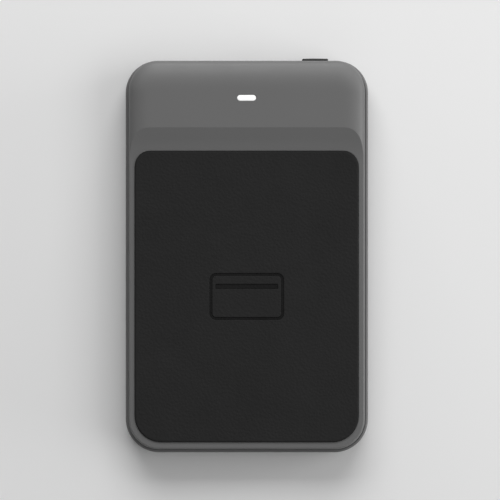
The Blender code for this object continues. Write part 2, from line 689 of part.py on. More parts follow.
def make_rear_shell():
    shell = loft("rear_shell", rear_sections())
    cut(shell, rear_cavity())
    post_top = PARTING - SCREW_BOSS_DROP - SEAT_GAP
    profile = [(SCREW_POST_RADIUS, REAR_FLOOR - BOSS_ROOT), (SCREW_POST_RADIUS, post_top)]
    add(shell, turned("screw_posts", profile, SCREW_PLACES))
    add(shell, battery_ribs())
    head_bore = SCREW_HEAD_RADIUS + SEAT_GAP
    bore = SCREW_RADIUS + SEAT_GAP
    bearing = REAR_BACK + SCREW_HEAD_DEPTH
    profile = [
        (head_bore, REAR_BACK - CUT_OVER),
        (head_bore, bearing),
        (bore, bearing),
        (bore, post_top + CUT_OVER),
    ]
    cut(shell, turned("screw_wells", profile, SCREW_PLACES, SMALL_ROUND_STEPS))
    pocket = FOOT_RADIUS + SEAT_GAP
    profile = [(pocket, REAR_BACK - CUT_OVER), (pocket, FOOT_THICKNESS + SEAT_GAP)]
    cut(shell, turned("foot_pockets", profile, FOOT_PLACES))
    label = rounded_rect(LABEL_WIDTH, LABEL_LENGTH, LABEL_CORNER)
    sections = [(label, REAR_BACK - CUT_OVER), (label, REAR_BACK + LABEL_DEPTH)]
    cut(shell, loft("label_recess", sections, "Z", (0, LABEL_Y, 0)))
    profile = [
        (SOUND_HOLE_RADIUS, REAR_BACK - CUT_OVER),
        (SOUND_HOLE_RADIUS, REAR_FLOOR + CUT_OVER),
    ]
    cut(shell, turned("sound_holes", profile, sound_hole_spots(), SMALL_ROUND_STEPS))
    inward = -WALL - REAR_EDGE_RADIUS
    port = pill(PORT_WIDTH + 2 * SEAT_GAP, PORT_HEIGHT + 2 * SEAT_GAP)
    cut(shell, loft("port_slot", [(port, inward), (port, CUT_OVER)], "Y", (0, TOP, PORT_Z)))
    slot = rounded_rect(
        BUTTON_WIDTH + 2 * SLIDE_GAP, BUTTON_HEIGHT + 2 * SLIDE_GAP, BUTTON_CORNER + SLIDE_GAP)
    cut(shell, loft("button_slot", [(slot, inward), (slot, CUT_OVER)], "Y", (BUTTON_X, TOP, BUTTON_Z)))
    finish(shell, "case_plastic", smooth=True)


# Tap pad

def make_tap_pad():
    sections = [(pad_outline(0), PAD_UNDERSIDE)]
    for rise, inset in quarter_round(SMALL_STEPS):
        height = PAD_TOP - PAD_EDGE_RADIUS * (1 - rise)
        sections.append((pad_outline(-PAD_EDGE_RADIUS * inset), height))
    pad = loft("tap_pad", sections)
    middle = (PAD_UPPER + PAD_LOWER) / 2
    groove_floor = PAD_TOP - MARK_DEPTH
    groove_over = PAD_TOP + CUT_OVER
    outer = rounded_rect(MARK_WIDTH, MARK_HEIGHT, MARK_RADIUS, CORNER_STEPS)
    inner = rounded_rect(
        MARK_WIDTH - 2 * MARK_LINE, MARK_HEIGHT - 2 * MARK_LINE, MARK_RADIUS - MARK_LINE, CORNER_STEPS)
    frame = ring("mark_frame", outer, inner, groove_floor, groove_over)
    frame.location.y = middle
    cut(pad, frame)
    stripe_y = middle + MARK_HEIGHT / 2 - MARK_STRIPE_DROP
    size = (MARK_WIDTH - 2 * MARK_STRIPE_INSET, MARK_STRIPE_HEIGHT, groove_over - groove_floor)
    cut(pad, box("mark_stripe", size, (0, stripe_y, groove_floor)))
    finish(pad, "pad_plastic", smooth=True)
    film = pad_outline(-ADHESIVE_MARGIN)
    sections = [(film, POCKET_FLOOR + FILM_GAP), (film, PAD_UNDERSIDE - FILM_GAP)]
    finish(loft("pad_adhesive", sections), "adhesive_film")


# Lamp

def make_lamp():
    led_top = BOARD_FACE + SEAT_GAP + LED_HEIGHT
    flange_top = HEAD_CEILING - SEAT_GAP
    flange_base = flange_top - LENS_FLANGE_THICKNESS
    stem = pill(LENS_LENGTH, LENS_WIDTH)
    reach = 2 * LENS_FLANGE_REACH
    flange = pill(LENS_LENGTH + reach, LENS_WIDTH + reach)
    crown = pill(LENS_LENGTH - 2 * LENS_EDGE, LENS_WIDTH - 2 * LENS_EDGE)
    sections = [
        (stem, led_top + SEAT_GAP),
        (stem, flange_base),
        (flange, flange_base),
        (flange, flange_top),
        (stem, flange_top),
        (stem, HEAD_TOP - LENS_EDGE),
        (crown, HEAD_TOP),
    ]
    finish(loft("light_pipe", sections, "Z", (0, LENS_Y, 0)), "lens_plastic", smooth=True)
    size = (LED_LENGTH, LED_WIDTH, LED_HEIGHT)
    finish(box("status_led", size, (0, LENS_Y, BOARD_FACE + SEAT_GAP), CHIP_EDGE), "ivory_moulding")


# Power button and its switch; each moving piece has its origin on the axis that it slides along

def make_button():
    key = rounded_rect(BUTTON_WIDTH, BUTTON_HEIGHT, BUTTON_CORNER)
    crown = rounded_rect(
        BUTTON_WIDTH - 2 * BUTTON_EDGE, BUTTON_HEIGHT - 2 * BUTTON_EDGE, BUTTON_CORNER - BUTTON_EDGE)
    ear_width = BUTTON_WIDTH + 2 * (SLIDE_GAP + EAR_REACH)
    ears = rounded_rect(ear_width, BUTTON_HEIGHT + 2 * SLIDE_GAP, BUTTON_CORNER)
    pusher = rounded_rect(PLUNGER_WIDTH, PLUNGER_HEIGHT, PLUNGER_CORNER)
    sections = [
        (pusher, -PUSHER_TIP),
        (pusher, -EAR_BACK),
        (ears, -EAR_BACK),
        (ears, -EAR_FRONT),
        (key, -EAR_FRONT),
        (key, BUTTON_PROUD - BUTTON_EDGE),
        (crown, BUTTON_PROUD),
    ]
    button = loft("power_button", sections, "Y", (BUTTON_X, TOP, BUTTON_Z))
    finish(button, "button_plastic", smooth=True)


def make_switch():
    front = TOP - SWITCH_FRONT
    base = BOARD_UNDERSIDE - SEAT_GAP - SWITCH_HEIGHT
    size = (SWITCH_WIDTH, SWITCH_DEPTH, SWITCH_HEIGHT)
    body = box("switch_body", size, (BUTTON_X, front - SWITCH_DEPTH / 2, base), CHIP_EDGE)
    slot_width = PLUNGER_WIDTH + 2 * SLIDE_GAP
    slot_height = PLUNGER_HEIGHT + 2 * SLIDE_GAP
    slot = rounded_rect(slot_width, slot_height, PLUNGER_CORNER)
    sections = [(slot, -SWITCH_SLOT_DEPTH), (slot, CUT_OVER)]
    cut(body, loft("plunger_slot", sections, "Y", (BUTTON_X, front, BUTTON_Z)))
    finish(body, "black_moulding")
    stem = rounded_rect(PLUNGER_WIDTH, PLUNGER_HEIGHT, PLUNGER_CORNER)
    plunger_place = (BUTTON_X, TOP - PLUNGER_TIP, BUTTON_Z)
    plunger = loft("switch_plunger", [(stem, -PLUNGER_LENGTH), (stem, 0.0)], "Y", plunger_place)
    finish(plunger, "ivory_moulding", smooth=True)
    make_dome(front - SWITCH_SLOT_DEPTH + FILM_GAP)


def make_dome(seat):
    """Sprung contact: an arched strip whose ends rest on the floor of the plunger's slot."""
    steps = 2 * CORNER_STEPS
    outer = []
    inner = []
    for step in range(steps + 1):
        share = step / steps
        across = PLUNGER_WIDTH * (share - 0.5)
        height = DOME_RISE * math.sin(math.pi * share)
        inner.append((across, height))
        outer.append((across, height + DOME_THICKNESS))
    strip = inner + outer[::-1]
    half = PLUNGER_HEIGHT / 2
    place = (BUTTON_X, seat, BUTTON_Z)
    finish(loft("switch_dome", [(strip, -half), (strip, half)], "Z", place), "steel", smooth=True)


# Main board and what it carries

def make_main_board():
    board = plate_outline(
        -BOARD_RIGHT, BOARD_RIGHT, BOARD_LOWER, BOARD_UPPER, BOARD_CORNER, BOARD_CORNER, SMALL_STEPS)
    plate = loft("main_board", [(board, BOARD_UNDERSIDE), (board, BOARD_FACE)])
    hole = BOARD_SCREW_RADIUS + SEAT_GAP
    profile = [(hole, BOARD_UNDERSIDE - CUT_OVER), (hole, BOARD_FACE + CUT_OVER)]
    cut(plate, turned("board_holes", profile, BOARD_SCREW_PLACES, SMALL_ROUND_STEPS))
    finish(plate, "green_laminate")


def make_radio():
    base = BOARD_FACE + SEAT_GAP
    middle = BOARD_LOWER + SHIELD_RISE
    outer = rounded_rect(SHIELD_WIDTH, SHIELD_LENGTH, SHIELD_CORNER)
    crown = rounded_rect(
        SHIELD_WIDTH - 2 * SHIELD_SHEET, SHIELD_LENGTH - 2 * SHIELD_SHEET, SHIELD_CORNER - SHIELD_SHEET)
    sections = [(outer, 0.0), (outer, SHIELD_HEIGHT - SHIELD_SHEET), (crown, SHIELD_HEIGHT)]
    can = loft("shield_can", sections, "Z", (SHIELD_X, middle, base))
    sections = [(crown, -CUT_OVER), (crown, SHIELD_HEIGHT - SHIELD_SHEET)]
    cut(can, loft("shield_hollow", sections, "Z", (SHIELD_X, middle, base)))
    finish(can, "tin_plate")
    size = (READER_CHIP_SIZE, READER_CHIP_SIZE, CHIP_HEIGHT)
    chip_x = SHIELD_X - SHIELD_WIDTH / 4
    finish(box("reader_chip", size, (chip_x, middle, base), CHIP_EDGE), "black_moulding")
    size = (CRYSTAL_LENGTH, CRYSTAL_WIDTH, CRYSTAL_HEIGHT)
    crystal_x = SHIELD_X + SHIELD_WIDTH / 4
    finish(box("clock_crystal", size, (crystal_x, middle, base), CHIP_EDGE), "tin_plate")


def make_controller():
    size = (CONTROLLER_SIZE, CONTROLLER_SIZE, CHIP_HEIGHT)
    place = (CONTROLLER_X, BOARD_LOWER + CONTROLLER_RISE, BOARD_FACE + SEAT_GAP)
    finish(box("controller_chip", size, place, CHIP_EDGE), "black_moulding")


def make_buzzer():
    profile = [
        (BUZZER_PORT_RADIUS, BUZZER_PORT_DEPTH),
        (BUZZER_PORT_RADIUS, 0.0),
        (BUZZER_RADIUS - CHIP_EDGE, 0.0),
        (BUZZER_RADIUS, CHIP_EDGE),
        (BUZZER_RADIUS, BUZZER_HEIGHT),
    ]
    place = (*BUZZER_PLACE, BOARD_UNDERSIDE - SEAT_GAP - BUZZER_HEIGHT)
    finish(turned("buzzer", profile, place=place), "black_moulding", smooth=True)


def make_cable_port():
    mouth = TOP - PORT_RECESS
    place = (0, mouth, PORT_Z)
    outer = pill(PORT_WIDTH, PORT_HEIGHT)
    tube = loft("cable_port_shell", [(outer, -PORT_DEPTH), (outer, 0.0)], "Y", place)
    inner = pill(PORT_WIDTH - 2 * PORT_SHEET, PORT_HEIGHT - 2 * PORT_SHEET)
    cut(tube, loft("port_hollow", [(inner, -PORT_HOLLOW), (inner, CUT_OVER)], "Y", place))
    finish(tube, "steel", smooth=True)
    base = rounded_rect(TONGUE_BASE_WIDTH, TONGUE_BASE_HEIGHT, TONGUE_CORNER)
    blade = rounded_rect(TONGUE_WIDTH, TONGUE_THICKNESS, TONGUE_CORNER)
    base_back = SEAT_GAP - PORT_HOLLOW
    base_front = base_back + TONGUE_BASE_DEPTH
    sections = [(base, base_back), (base, base_front), (blade, base_front), (blade, -TONGUE_RECESS)]
    finish(loft("cable_port_tongue", sections, "Y", place), "black_moulding", smooth=True)


# Antenna

def make_antenna():
    plate = plate_outline(
        -ANTENNA_RIGHT, ANTENNA_RIGHT, ANTENNA_LOWER, ANTENNA_UPPER,
        ANTENNA_CORNER, ANTENNA_CORNER, SMALL_STEPS,
    )
    sections = [(plate, ANTENNA_BASE), (plate, ANTENNA_BASE + ANTENNA_THICKNESS)]
    board = loft("antenna_board", sections)
    hole = PEG_RADIUS + SEAT_GAP
    profile = [(hole, ANTENNA_BASE - CUT_OVER), (hole, DECK_CEILING)]
    cut(board, turned("peg_holes", profile, PEG_PLACES, SMALL_ROUND_STEPS))
    finish(board, "green_laminate")
    sheet = plate_outline(
        -ANTENNA_RIGHT + FERRITE_MARGIN, ANTENNA_RIGHT - FERRITE_MARGIN,
        ANTENNA_LOWER + FERRITE_MARGIN, ANTENNA_UPPER - FERRITE_MARGIN,
        ANTENNA_CORNER, ANTENNA_CORNER, SMALL_STEPS,
    )
    sections = [(sheet, FERRITE_BASE), (sheet, FERRITE_BASE + FERRITE_THICKNESS)]
    finish(loft("ferrite_sheet", sections), "ferrite")


def coil_path():
    """Middle line of the printed loop: a rounded rectangle that winds inwards, anticlockwise."""
    right = ANTENNA_RIGHT - COIL_MARGIN - COIL_CORNER
    upper = ANTENNA_UPPER - COIL_MARGIN - COIL_CORNER
    lower = ANTENNA_LOWER + COIL_MARGIN + COIL_CORNER
    path = [(right + COIL_CORNER, lower)]
    for turn in range(COIL_TURNS):
        run = COIL_CORNER - COIL_PITCH * turn
        path += corner((right, upper), run, run, 0, SMALL_STEPS)
        path += corner((-right, upper), run, run, 1, SMALL_STEPS)
        path += corner((-right, lower), run, run, 2, SMALL_STEPS)
        if turn < COIL_TURNS - 1:
            path += corner((right, lower), run - COIL_PITCH, run, 3, SMALL_STEPS)
    path.append((right, path[-1][1]))
    return path


def make_coil():
    path = coil_path()
    bm = bmesh.new()
    loops = []
    for index, spot in enumerate(path):
        before = path[max(index - 1, 0)]
        after = path[min(index + 1, len(path) - 1)]
        along = (after[0] - before[0], after[1] - before[1])
        length = math.hypot(*along)
        across = (-along[1] / length * COIL_LINE / 2, along[0] / length * COIL_LINE / 2)
        loop = []
        for side, height in ((1, 0.0), (-1, 0.0), (-1, COIL_THICKNESS), (1, COIL_THICKNESS)):
            loop.append(bm.verts.new((spot[0] + side * across[0], spot[1] + side * across[1], height)))
        loops.append(loop)
    for loop, following in zip(loops, loops[1:]):
        for index, vert in enumerate(loop):
            after = (index + 1) % len(loop)
            bm.faces.new((vert, loop[after], following[after], following[index]))
    bm.faces.new(loops[0])
    bm.faces.new(loops[-1])
    finish(mesh_object("antenna_coil", bm, (0, 0, COIL_BASE)), "copper")


def smooth_step(share):
    return share * share * (3 - 2 * share)


def make_flex():
    mouth_z = BOARD_FACE + SEAT_GAP + CONNECTOR_HEIGHT / 2
    start = (ANTENNA_UPPER - FLEX_OVERLAP, ANTENNA_BASE - SEAT_GAP - FLEX_THICKNESS / 2)
    end = (CONNECTOR_MOUTH + FLEX_INSERTION, mouth_z)
    bend_start = ANTENNA_UPPER
    bend_run = CONNECTOR_MOUTH - SEAT_GAP - bend_start
    line = [start]
    for step in range(FLEX_STEPS + 1):
        share = step / FLEX_STEPS
        height = start[1] + (end[1] - start[1]) * smooth_step(share)
        line.append((bend_start + bend_run * share, height))
    line.append(end)
    half = FLEX_THICKNESS / 2
    strip = [(along, height - half) for along, height in line]
    strip += [(along, height + half) for along, height in reversed(line)]
    sections = [(strip, -FLEX_WIDTH / 2), (strip, FLEX_WIDTH / 2)]
    finish(loft("antenna_flex", sections, "X", (FLEX_X, 0, 0)), "amber_film", smooth=True)
    size = (CONNECTOR_WIDTH, CONNECTOR_DEPTH, CONNECTOR_HEIGHT)
    place = (FLEX_X, CONNECTOR_MOUTH + CONNECTOR_DEPTH / 2, BOARD_FACE + SEAT_GAP)
    body = box("flex_connector", size, place, CHIP_EDGE)
    slot_size = (FLEX_WIDTH + 2 * SEAT_GAP, 2 * (FLEX_INSERTION + SEAT_GAP), FLEX_THICKNESS + 2 * SEAT_GAP)
    slot_place = (FLEX_X, CONNECTOR_MOUTH, mouth_z - slot_size[2] / 2)
    cut(body, box("flex_slot", slot_size, slot_place))
    finish(body, "ivory_moulding")


# Battery, its guard board, tape, plug and leads

def make_battery():
    def cell_outline(inset):
        return plate_outline(
            inset - BATTERY_WIDTH / 2, BATTERY_WIDTH / 2 - inset,
            BATTERY_LOWER + inset, BATTERY_UPPER - inset,
            BATTERY_CORNER - inset, BATTERY_CORNER - inset, SMALL_STEPS,
        )

    sections = []
    for rise, inset in quarter_round(SMALL_STEPS):
        height = BATTERY_BASE + BATTERY_EDGE * inset
        sections.append((cell_outline(BATTERY_EDGE * (1 - rise)), height))
    for rise, inset in quarter_round(SMALL_STEPS):
        height = BATTERY_TOP - BATTERY_EDGE * (1 - rise)
        sections.append((cell_outline(BATTERY_EDGE * inset), height))
    cell = loft("battery_cell", sections)
    terrace_length = TERRACE_LENGTH + TERRACE_ROOT
    size = (BATTERY_WIDTH - 2 * TERRACE_INSET, terrace_length, TERRACE_HEIGHT - FILM_GAP)
    place = (0, TERRACE_UPPER - terrace_length / 2, BATTERY_BASE + FILM_GAP)
    add(cell, box("battery_terrace", size, place))
    finish(cell, "pouch_foil", smooth=True)
    size = (BATTERY_WIDTH - 2 * GUARD_INSET, TERRACE_LENGTH - 2 * SEAT_GAP, GUARD_THICKNESS)
    place = (0, (TERRACE_UPPER + BATTERY_UPPER) / 2, GUARD_BASE)
    finish(box("battery_guard_board", size, place), "green_laminate")
    size = (
        BATTERY_WIDTH - 2 * FOAM_MARGIN,
        BATTERY_LENGTH - 2 * FOAM_MARGIN,
        FOAM_THICKNESS,
    )
    place = (0, (BATTERY_LOWER + BATTERY_UPPER) / 2, FOAM_BASE)
    finish(box("battery_foam", size, place), "foam")


def make_battery_lead():
    middle_z = SOCKET_BASE + SOCKET_HEIGHT / 2
    size = (SOCKET_WIDTH, SOCKET_DEPTH, SOCKET_HEIGHT)
    socket = box("battery_socket", size, (SOCKET_X, SOCKET_MOUTH + SOCKET_DEPTH / 2, SOCKET_BASE))
    hollow_width = SOCKET_WIDTH - 2 * SOCKET_WALL
    hollow_depth = SOCKET_DEPTH - SOCKET_WALL
    hollow_height = SOCKET_HEIGHT - 2 * SOCKET_WALL
    size = (hollow_width, 2 * hollow_depth, hollow_height)
    cut(socket, box("socket_hollow", size, (SOCKET_X, SOCKET_MOUTH, SOCKET_BASE + SOCKET_WALL)))
    finish(socket, "ivory_moulding")
    plug_length = PLUG_OVERHANG + hollow_depth - SEAT_GAP
    plug_height = hollow_height - 2 * SEAT_GAP
    plug_rear = SOCKET_MOUTH - PLUG_OVERHANG
    size = (hollow_width - 2 * SEAT_GAP, plug_length, plug_height)
    place = (SOCKET_X, plug_rear + plug_length / 2, middle_z - plug_height / 2)
    finish(box("battery_plug", size, place, CHIP_EDGE), "ivory_moulding")
    start_y = TERRACE_UPPER
    end_y = plug_rear - SEAT_GAP
    start_z = GUARD_BASE + GUARD_THICKNESS / 2
    for name, side, material in (
        ("battery_lead_red", 1, "red_jacket"),
        ("battery_lead_black", -1, "black_jacket"),
    ):
        points = []
        for step in range(LEAD_STEPS + 1):
            share = step / LEAD_STEPS
            bow = LEAD_BOW * math.sin(math.pi * share) ** 2
            points.append((
                SOCKET_X + side * LEAD_PITCH / 2 + bow,
                start_y + (end_y - start_y) * share,
                start_z + (middle_z - start_z) * smooth_step(share),
            ))
        make_lead(name, points, material)


def make_lead(name, points, material):
    curve = bpy.data.curves.new(name, "CURVE")
    curve.dimensions = "3D"
    curve.bevel_depth = LEAD_DIAMETER / 2
    curve.bevel_resolution = 2
    curve.use_fill_caps = True
    spline = curve.splines.new("POLY")
    spline.points.add(len(points) - 1)
    for knot, spot in zip(spline.points, points):
        knot.co = (*spot, 1.0)
    spline.use_smooth = True
    curve.materials.append(finish_material(material))
    bpy.context.scene.collection.objects.link(bpy.data.objects.new(name, curve))


# Screws and feet

def screw_head_base():
    return REAR_BACK + SCREW_HEAD_DEPTH - SEAT_GAP - SCREW_HEAD_HEIGHT


def screw_tip():
    return screw_head_base() + SCREW_HEAD_HEIGHT + SCREW_SHANK


def board_screw_head_base():
    return BOARD_UNDERSIDE - SEAT_GAP - BOARD_SCREW_HEAD_HEIGHT


def board_screw_tip():
    return board_screw_head_base() + BOARD_SCREW_HEAD_HEIGHT + BOARD_SCREW_SHANK


def cross_outline(span, slot):
    return [
        (span, -slot), (span, slot), (slot, slot), (slot, span), (-slot, span), (-slot, slot),
        (-span, slot), (-span, -slot), (-slot, -slot), (-slot, -span), (slot, -span), (slot, -slot),
    ]


def make_screws(name, spots, base, radius, head_radius, head_height, shank):
    """Pan-head screws that point up, with a cross recess in the head; they share one mesh."""
    profile = [(head_radius * across, head_height * along) for across, along in HEAD_CROWN]
    profile += [
        (head_radius, head_height),
        (radius, head_height),
        (radius, head_height + shank - radius),
        (radius * POINT_SHARE, head_height + shank),
    ]
    pattern = turned(name + "_pattern", profile, steps=SMALL_ROUND_STEPS)
    recess = cross_outline(head_radius * RECESS_SPAN, head_radius * RECESS_SLOT)
    sections = [(recess, -CUT_OVER), (recess, head_height * RECESS_DEPTH)]
    tool = loft(name + "_recess", sections)
    cut(pattern, tool)
    finish(pattern, "steel", smooth=True)
    bpy.context.view_layer.update()
    shaped = pattern.evaluated_get(bpy.context.evaluated_depsgraph_get())
    mesh = bpy.data.meshes.new_from_object(shaped)
    mesh.name = name
    for piece in (pattern, tool):
        bpy.data.objects.remove(piece)
    for number, spot in enumerate(spots, start=1):
        screw = bpy.data.objects.new(f"{name}_{number}", mesh)
        screw.location = (*spot, base)
        bpy.context.scene.collection.objects.link(screw)


def make_feet():
    profile = [
        (FOOT_RADIUS - FOOT_EDGE, 0.0),
        (FOOT_RADIUS, FOOT_EDGE),
        (FOOT_RADIUS, FOOT_THICKNESS),
    ]
    for number, spot in enumerate(FOOT_PLACES, start=1):
        foot = turned(f"rubber_foot_{number}", profile, place=(*spot, 0))
        finish(foot, "foot_rubber", smooth=True)


def gather_under_empty():
    """Hangs every piece on one empty at the origin, so that the part moves as a whole."""
    base = bpy.data.objects.new("ticket_validator", None)
    pieces = list(bpy.context.scene.collection.objects)
    bpy.context.scene.collection.objects.link(base)
    for piece in pieces:
        piece.parent = base


def main():
    for piece in list(bpy.data.objects):
        bpy.data.objects.remove(piece)
    make_front_shell()
    make_rear_shell()
    make_tap_pad()
    make_lamp()
    make_button()
    make_switch()
    make_main_board()
    make_radio()
    make_controller()
    make_buzzer()
    make_cable_port()
    make_antenna()
    make_coil()
    make_flex()
    make_battery()
    make_battery_lead()
    make_screws(
        "housing_screw", SCREW_PLACES, screw_head_base(),
        SCREW_RADIUS, SCREW_HEAD_RADIUS, SCREW_HEAD_HEIGHT, SCREW_SHANK,
    )
    make_screws(
        "board_screw", BOARD_SCREW_PLACES, board_screw_head_base(),
        BOARD_SCREW_RADIUS, BOARD_SCREW_HEAD_RADIUS, BOARD_SCREW_HEAD_HEIGHT, BOARD_SCREW_SHANK,
    )
    make_feet()
    gather_under_empty()


main()
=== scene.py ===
import math

import bmesh
import bpy
from mathutils import Matrix, Vector


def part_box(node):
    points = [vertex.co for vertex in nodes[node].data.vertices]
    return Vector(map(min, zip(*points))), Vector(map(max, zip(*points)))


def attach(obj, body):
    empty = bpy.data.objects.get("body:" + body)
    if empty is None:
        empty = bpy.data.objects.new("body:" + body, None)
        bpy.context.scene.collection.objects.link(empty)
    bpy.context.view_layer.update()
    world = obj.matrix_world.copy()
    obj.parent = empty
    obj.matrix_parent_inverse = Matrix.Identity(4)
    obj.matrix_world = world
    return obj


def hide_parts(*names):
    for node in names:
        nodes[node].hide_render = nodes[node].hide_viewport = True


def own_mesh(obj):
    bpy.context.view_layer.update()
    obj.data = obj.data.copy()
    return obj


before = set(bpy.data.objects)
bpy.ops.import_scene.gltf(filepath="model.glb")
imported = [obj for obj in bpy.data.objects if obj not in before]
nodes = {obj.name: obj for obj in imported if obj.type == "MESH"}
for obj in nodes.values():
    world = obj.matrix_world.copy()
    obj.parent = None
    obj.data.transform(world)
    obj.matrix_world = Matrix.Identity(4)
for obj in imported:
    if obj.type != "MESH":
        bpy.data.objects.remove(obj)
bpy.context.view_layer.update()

mm = 0.001
overCut = 2 * mm  # how far a cutting shape reaches past the face it opens
weldReach = 0.0005 * mm
padProud = 0.2 * mm  # the pad throws a soft shadow on the frame around it
softCrease, hardCrease = 30, 14  # degrees between faces that still shade as one

rearLow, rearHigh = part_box("rear_shell")
padLow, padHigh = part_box("tap_pad")
padTop = padHigh.z + padProud
side, top = rearHigh.x, rearHigh.y
backZ, partingZ, headZ = rearLow.z, rearHigh.z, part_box("front_shell")[1].z
print("frame loaded:", len(nodes), "nodes")


def scaled(size):
    return tuple(scaled(part) for part in size) if isinstance(size, tuple) else size * mm


def lengths(**sizes):  # given in millimetres
    return {key: scaled(size) for key, size in sizes.items()}


def middleOf(name, axes=(0, 1)):
    low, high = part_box(name)
    return tuple((low[axis] + high[axis]) / 2 for axis in axes)


def middlesOf(start):  # of all the nodes whose names start alike
    return [middleOf(name) for name in sorted(nodes) if name.startswith(start)]


# outlines are lists of points in a plane, all counter-clockwise
def plateOutline(left, right, low, high, lowRadius, highRadius, steps, sideIn=0, topIn=0):
    upper, lower = high - highRadius, low + lowRadius
    highRuns, lowRuns = (highRadius - sideIn, highRadius - topIn), (lowRadius - sideIn, lowRadius - sideIn)
    corners = [(right - highRadius, upper, *highRuns), (left + highRadius, upper, *highRuns)]
    corners += [(left + lowRadius, lower, *lowRuns), (right - lowRadius, lower, *lowRuns)]
    points = []
    for quarter, (x, y, across, up) in enumerate(corners):  # an inset leaves the centres where they are
        for step in range(steps + 1):
            turn = math.pi / 2 * (quarter + step / steps)
            points.append((x + across * math.cos(turn), y + up * math.sin(turn)))
    return points


def roundRect(width, height, radius, steps=8):
    return plateOutline(-width / 2, width / 2, -height / 2, height / 2, radius, radius, steps)


def pillOutline(length, width, steps):
    points = []
    for end in (1, -1):
        middle = end * (length - width) / 2
        for step in range(steps + 1):
            turn = math.pi * (step / steps - end / 2)
            points.append((middle + width / 2 * math.cos(turn), width / 2 * math.sin(turn)))
    return points


def circleOutline(radius, steps):
    turns = [2 * math.pi * step / steps for step in range(steps)]
    return [(radius * math.cos(turn), radius * math.sin(turn)) for turn in turns]


# outlines that can grow, for a gap around a piece or the rounding of a rim
def growingBox(width, height, radius, steps=8):
    return lambda growth: roundRect(width + 2 * growth, height + 2 * growth, radius + growth, steps)


def growingPill(length, width, steps=20):
    return lambda growth: pillOutline(length + 2 * growth, width + 2 * growth, steps)


def growingCircle(radius, steps):
    return lambda growth: circleOutline(radius + growth, steps)


def around(shape, gap):
    return lambda growth: shape(gap + growth)


# levels are pairs of an outline and its height
def quarterRound(steps=8):
    for step in range(steps + 1):
        turn = math.pi / 2 * step / steps
        yield math.sin(turn), 1 - math.cos(turn)  # rise and inset, from 0 to 1


def bend(x, z, run, rise, steps=8):  # a quarter turn from (x + run, z) to (x, z + rise)
    return [(x + run * (1 - lift), z + rise * inset) for lift, inset in quarterRound(steps)]


def squarerRound(steps, power):  # like quarterRound, with no sudden start
    for rise, inset in quarterRound(steps):
        yield rise ** (2 / power), 1 - (1 - inset) ** (2 / power)


def roundedEdge(shape, face, run, fall, steps=8):  # turns in towards a face
    return [(shape(-run * inset), face - fall * (1 - rise)) for rise, inset in quarterRound(steps)]


def crownedFace(shape, shares, level, rise):
    return [(shape(share), level + rise * (1 - (1 - share) ** 2)) for share in shares]


rimForm = dict(steps=7, turn=12.5, flare=1.32, flareRise=0.12)  # degrees, and shares of the radius


def mouthLevels(shape, deep, face, radius):  # a hole whose rim is rounded where it meets the face
    out = 1 if face > deep else -1
    levels = [(shape(0), deep)]
    for step in range(rimForm["steps"]):
        turn = math.radians(rimForm["turn"] * step)
        level = face - out * radius * (1 - math.sin(turn))
        levels.append((shape(radius * (1 - math.cos(turn))), level))
    flare = shape(rimForm["flare"] * radius)
    return levels + [(flare, face + out * rimForm["flareRise"] * radius), (flare, face + out * overCut)]


def flatRing(outline, z, at):
    return [(x + at[0], y + at[1], z) for x, y in outline]


def uprightRing(outline, y, at):  # the outline lies in X and Z
    return [(x + at[0], y, z + at[1]) for x, z in outline]


def sideRing(outline, x, at):  # the outline lies in Y and Z
    return [(x, y + at[0], z + at[1]) for y, z in outline]


# solids
def newPiece(name, bm):
    bmesh.ops.recalc_face_normals(bm, faces=bm.faces[:])
    mesh = bpy.data.meshes.new(name)
    bm.to_mesh(mesh)
    bm.free()
    piece = bpy.data.objects.new(name, mesh)
    bpy.context.scene.collection.objects.link(piece)
    return piece


def addStack(bm, levels, at, ringOf=flatRing, closed=False):  # skins from level to level
    loops = [[bm.verts.new(spot) for spot in ringOf(outline, level, at)] for outline, level in levels]
    pairs = list(zip(loops, loops[1:]))
    if closed:
        pairs.append((loops[-1], loops[0]))
    for near, far in pairs:
        for index, vert in enumerate(near):
            after = (index + 1) % len(near)
            bm.faces.new((vert, near[after], far[after], far[index]))
    if not closed:
        bm.faces.new(loops[0])
        bm.faces.new(loops[-1])


def stackPiece(name, levels, spots=((0, 0),), ringOf=flatRing, closed=False):
    bm = bmesh.new()
    for spot in spots:
        addStack(bm, levels, spot, ringOf, closed)
    return newPiece(name, bm)


def turnedPiece(name, profile, spots, steps):
    return stackPiece(name, [(circleOutline(radius, steps), z) for radius, z in profile], spots)


def postTool(name, radius, low, high, spots, steps=40):
    return turnedPiece(name, [(radius, low), (radius, high)], spots, steps)


def mouthTool(name, shape, deep, face, radius, spots=((0, 0),), ringOf=flatRing):
    return stackPiece(name, mouthLevels(shape, deep, face, radius), spots, ringOf)


def prismTool(name, profile):
    return stackPiece(name, [(profile, -2 * side), (profile, 2 * side)], ringOf=sideRing)


def carve(piece, tool, how="DIFFERENCE"):
    step = piece.modifiers.new(tool.name, "BOOLEAN")
    step.operation = how
    step.solver = "EXACT"
    step.object = tool
    tool.hide_render = True


def settle(piece):  # turns the cuts into plain mesh and clears the tools away
    tools = [step.object for step in piece.modifiers if step.type == "BOOLEAN"]
    bpy.context.view_layer.update()
    shaped = piece.evaluated_get(bpy.context.evaluated_depsgraph_get())
    mesh = bpy.data.meshes.new_from_object(shaped)
    piece.modifiers.clear()
    piece.data = mesh
    mesh.name = piece.name
    for tool in tools:
        bpy.data.objects.remove(tool)
    bm = bmesh.new()
    bm.from_mesh(mesh)
    bmesh.ops.remove_doubles(bm, verts=bm.verts[:], dist=weldReach)
    bmesh.ops.dissolve_degenerate(bm, edges=bm.edges[:], dist=weldReach)
    bm.to_mesh(mesh)
    bm.free()
    return piece


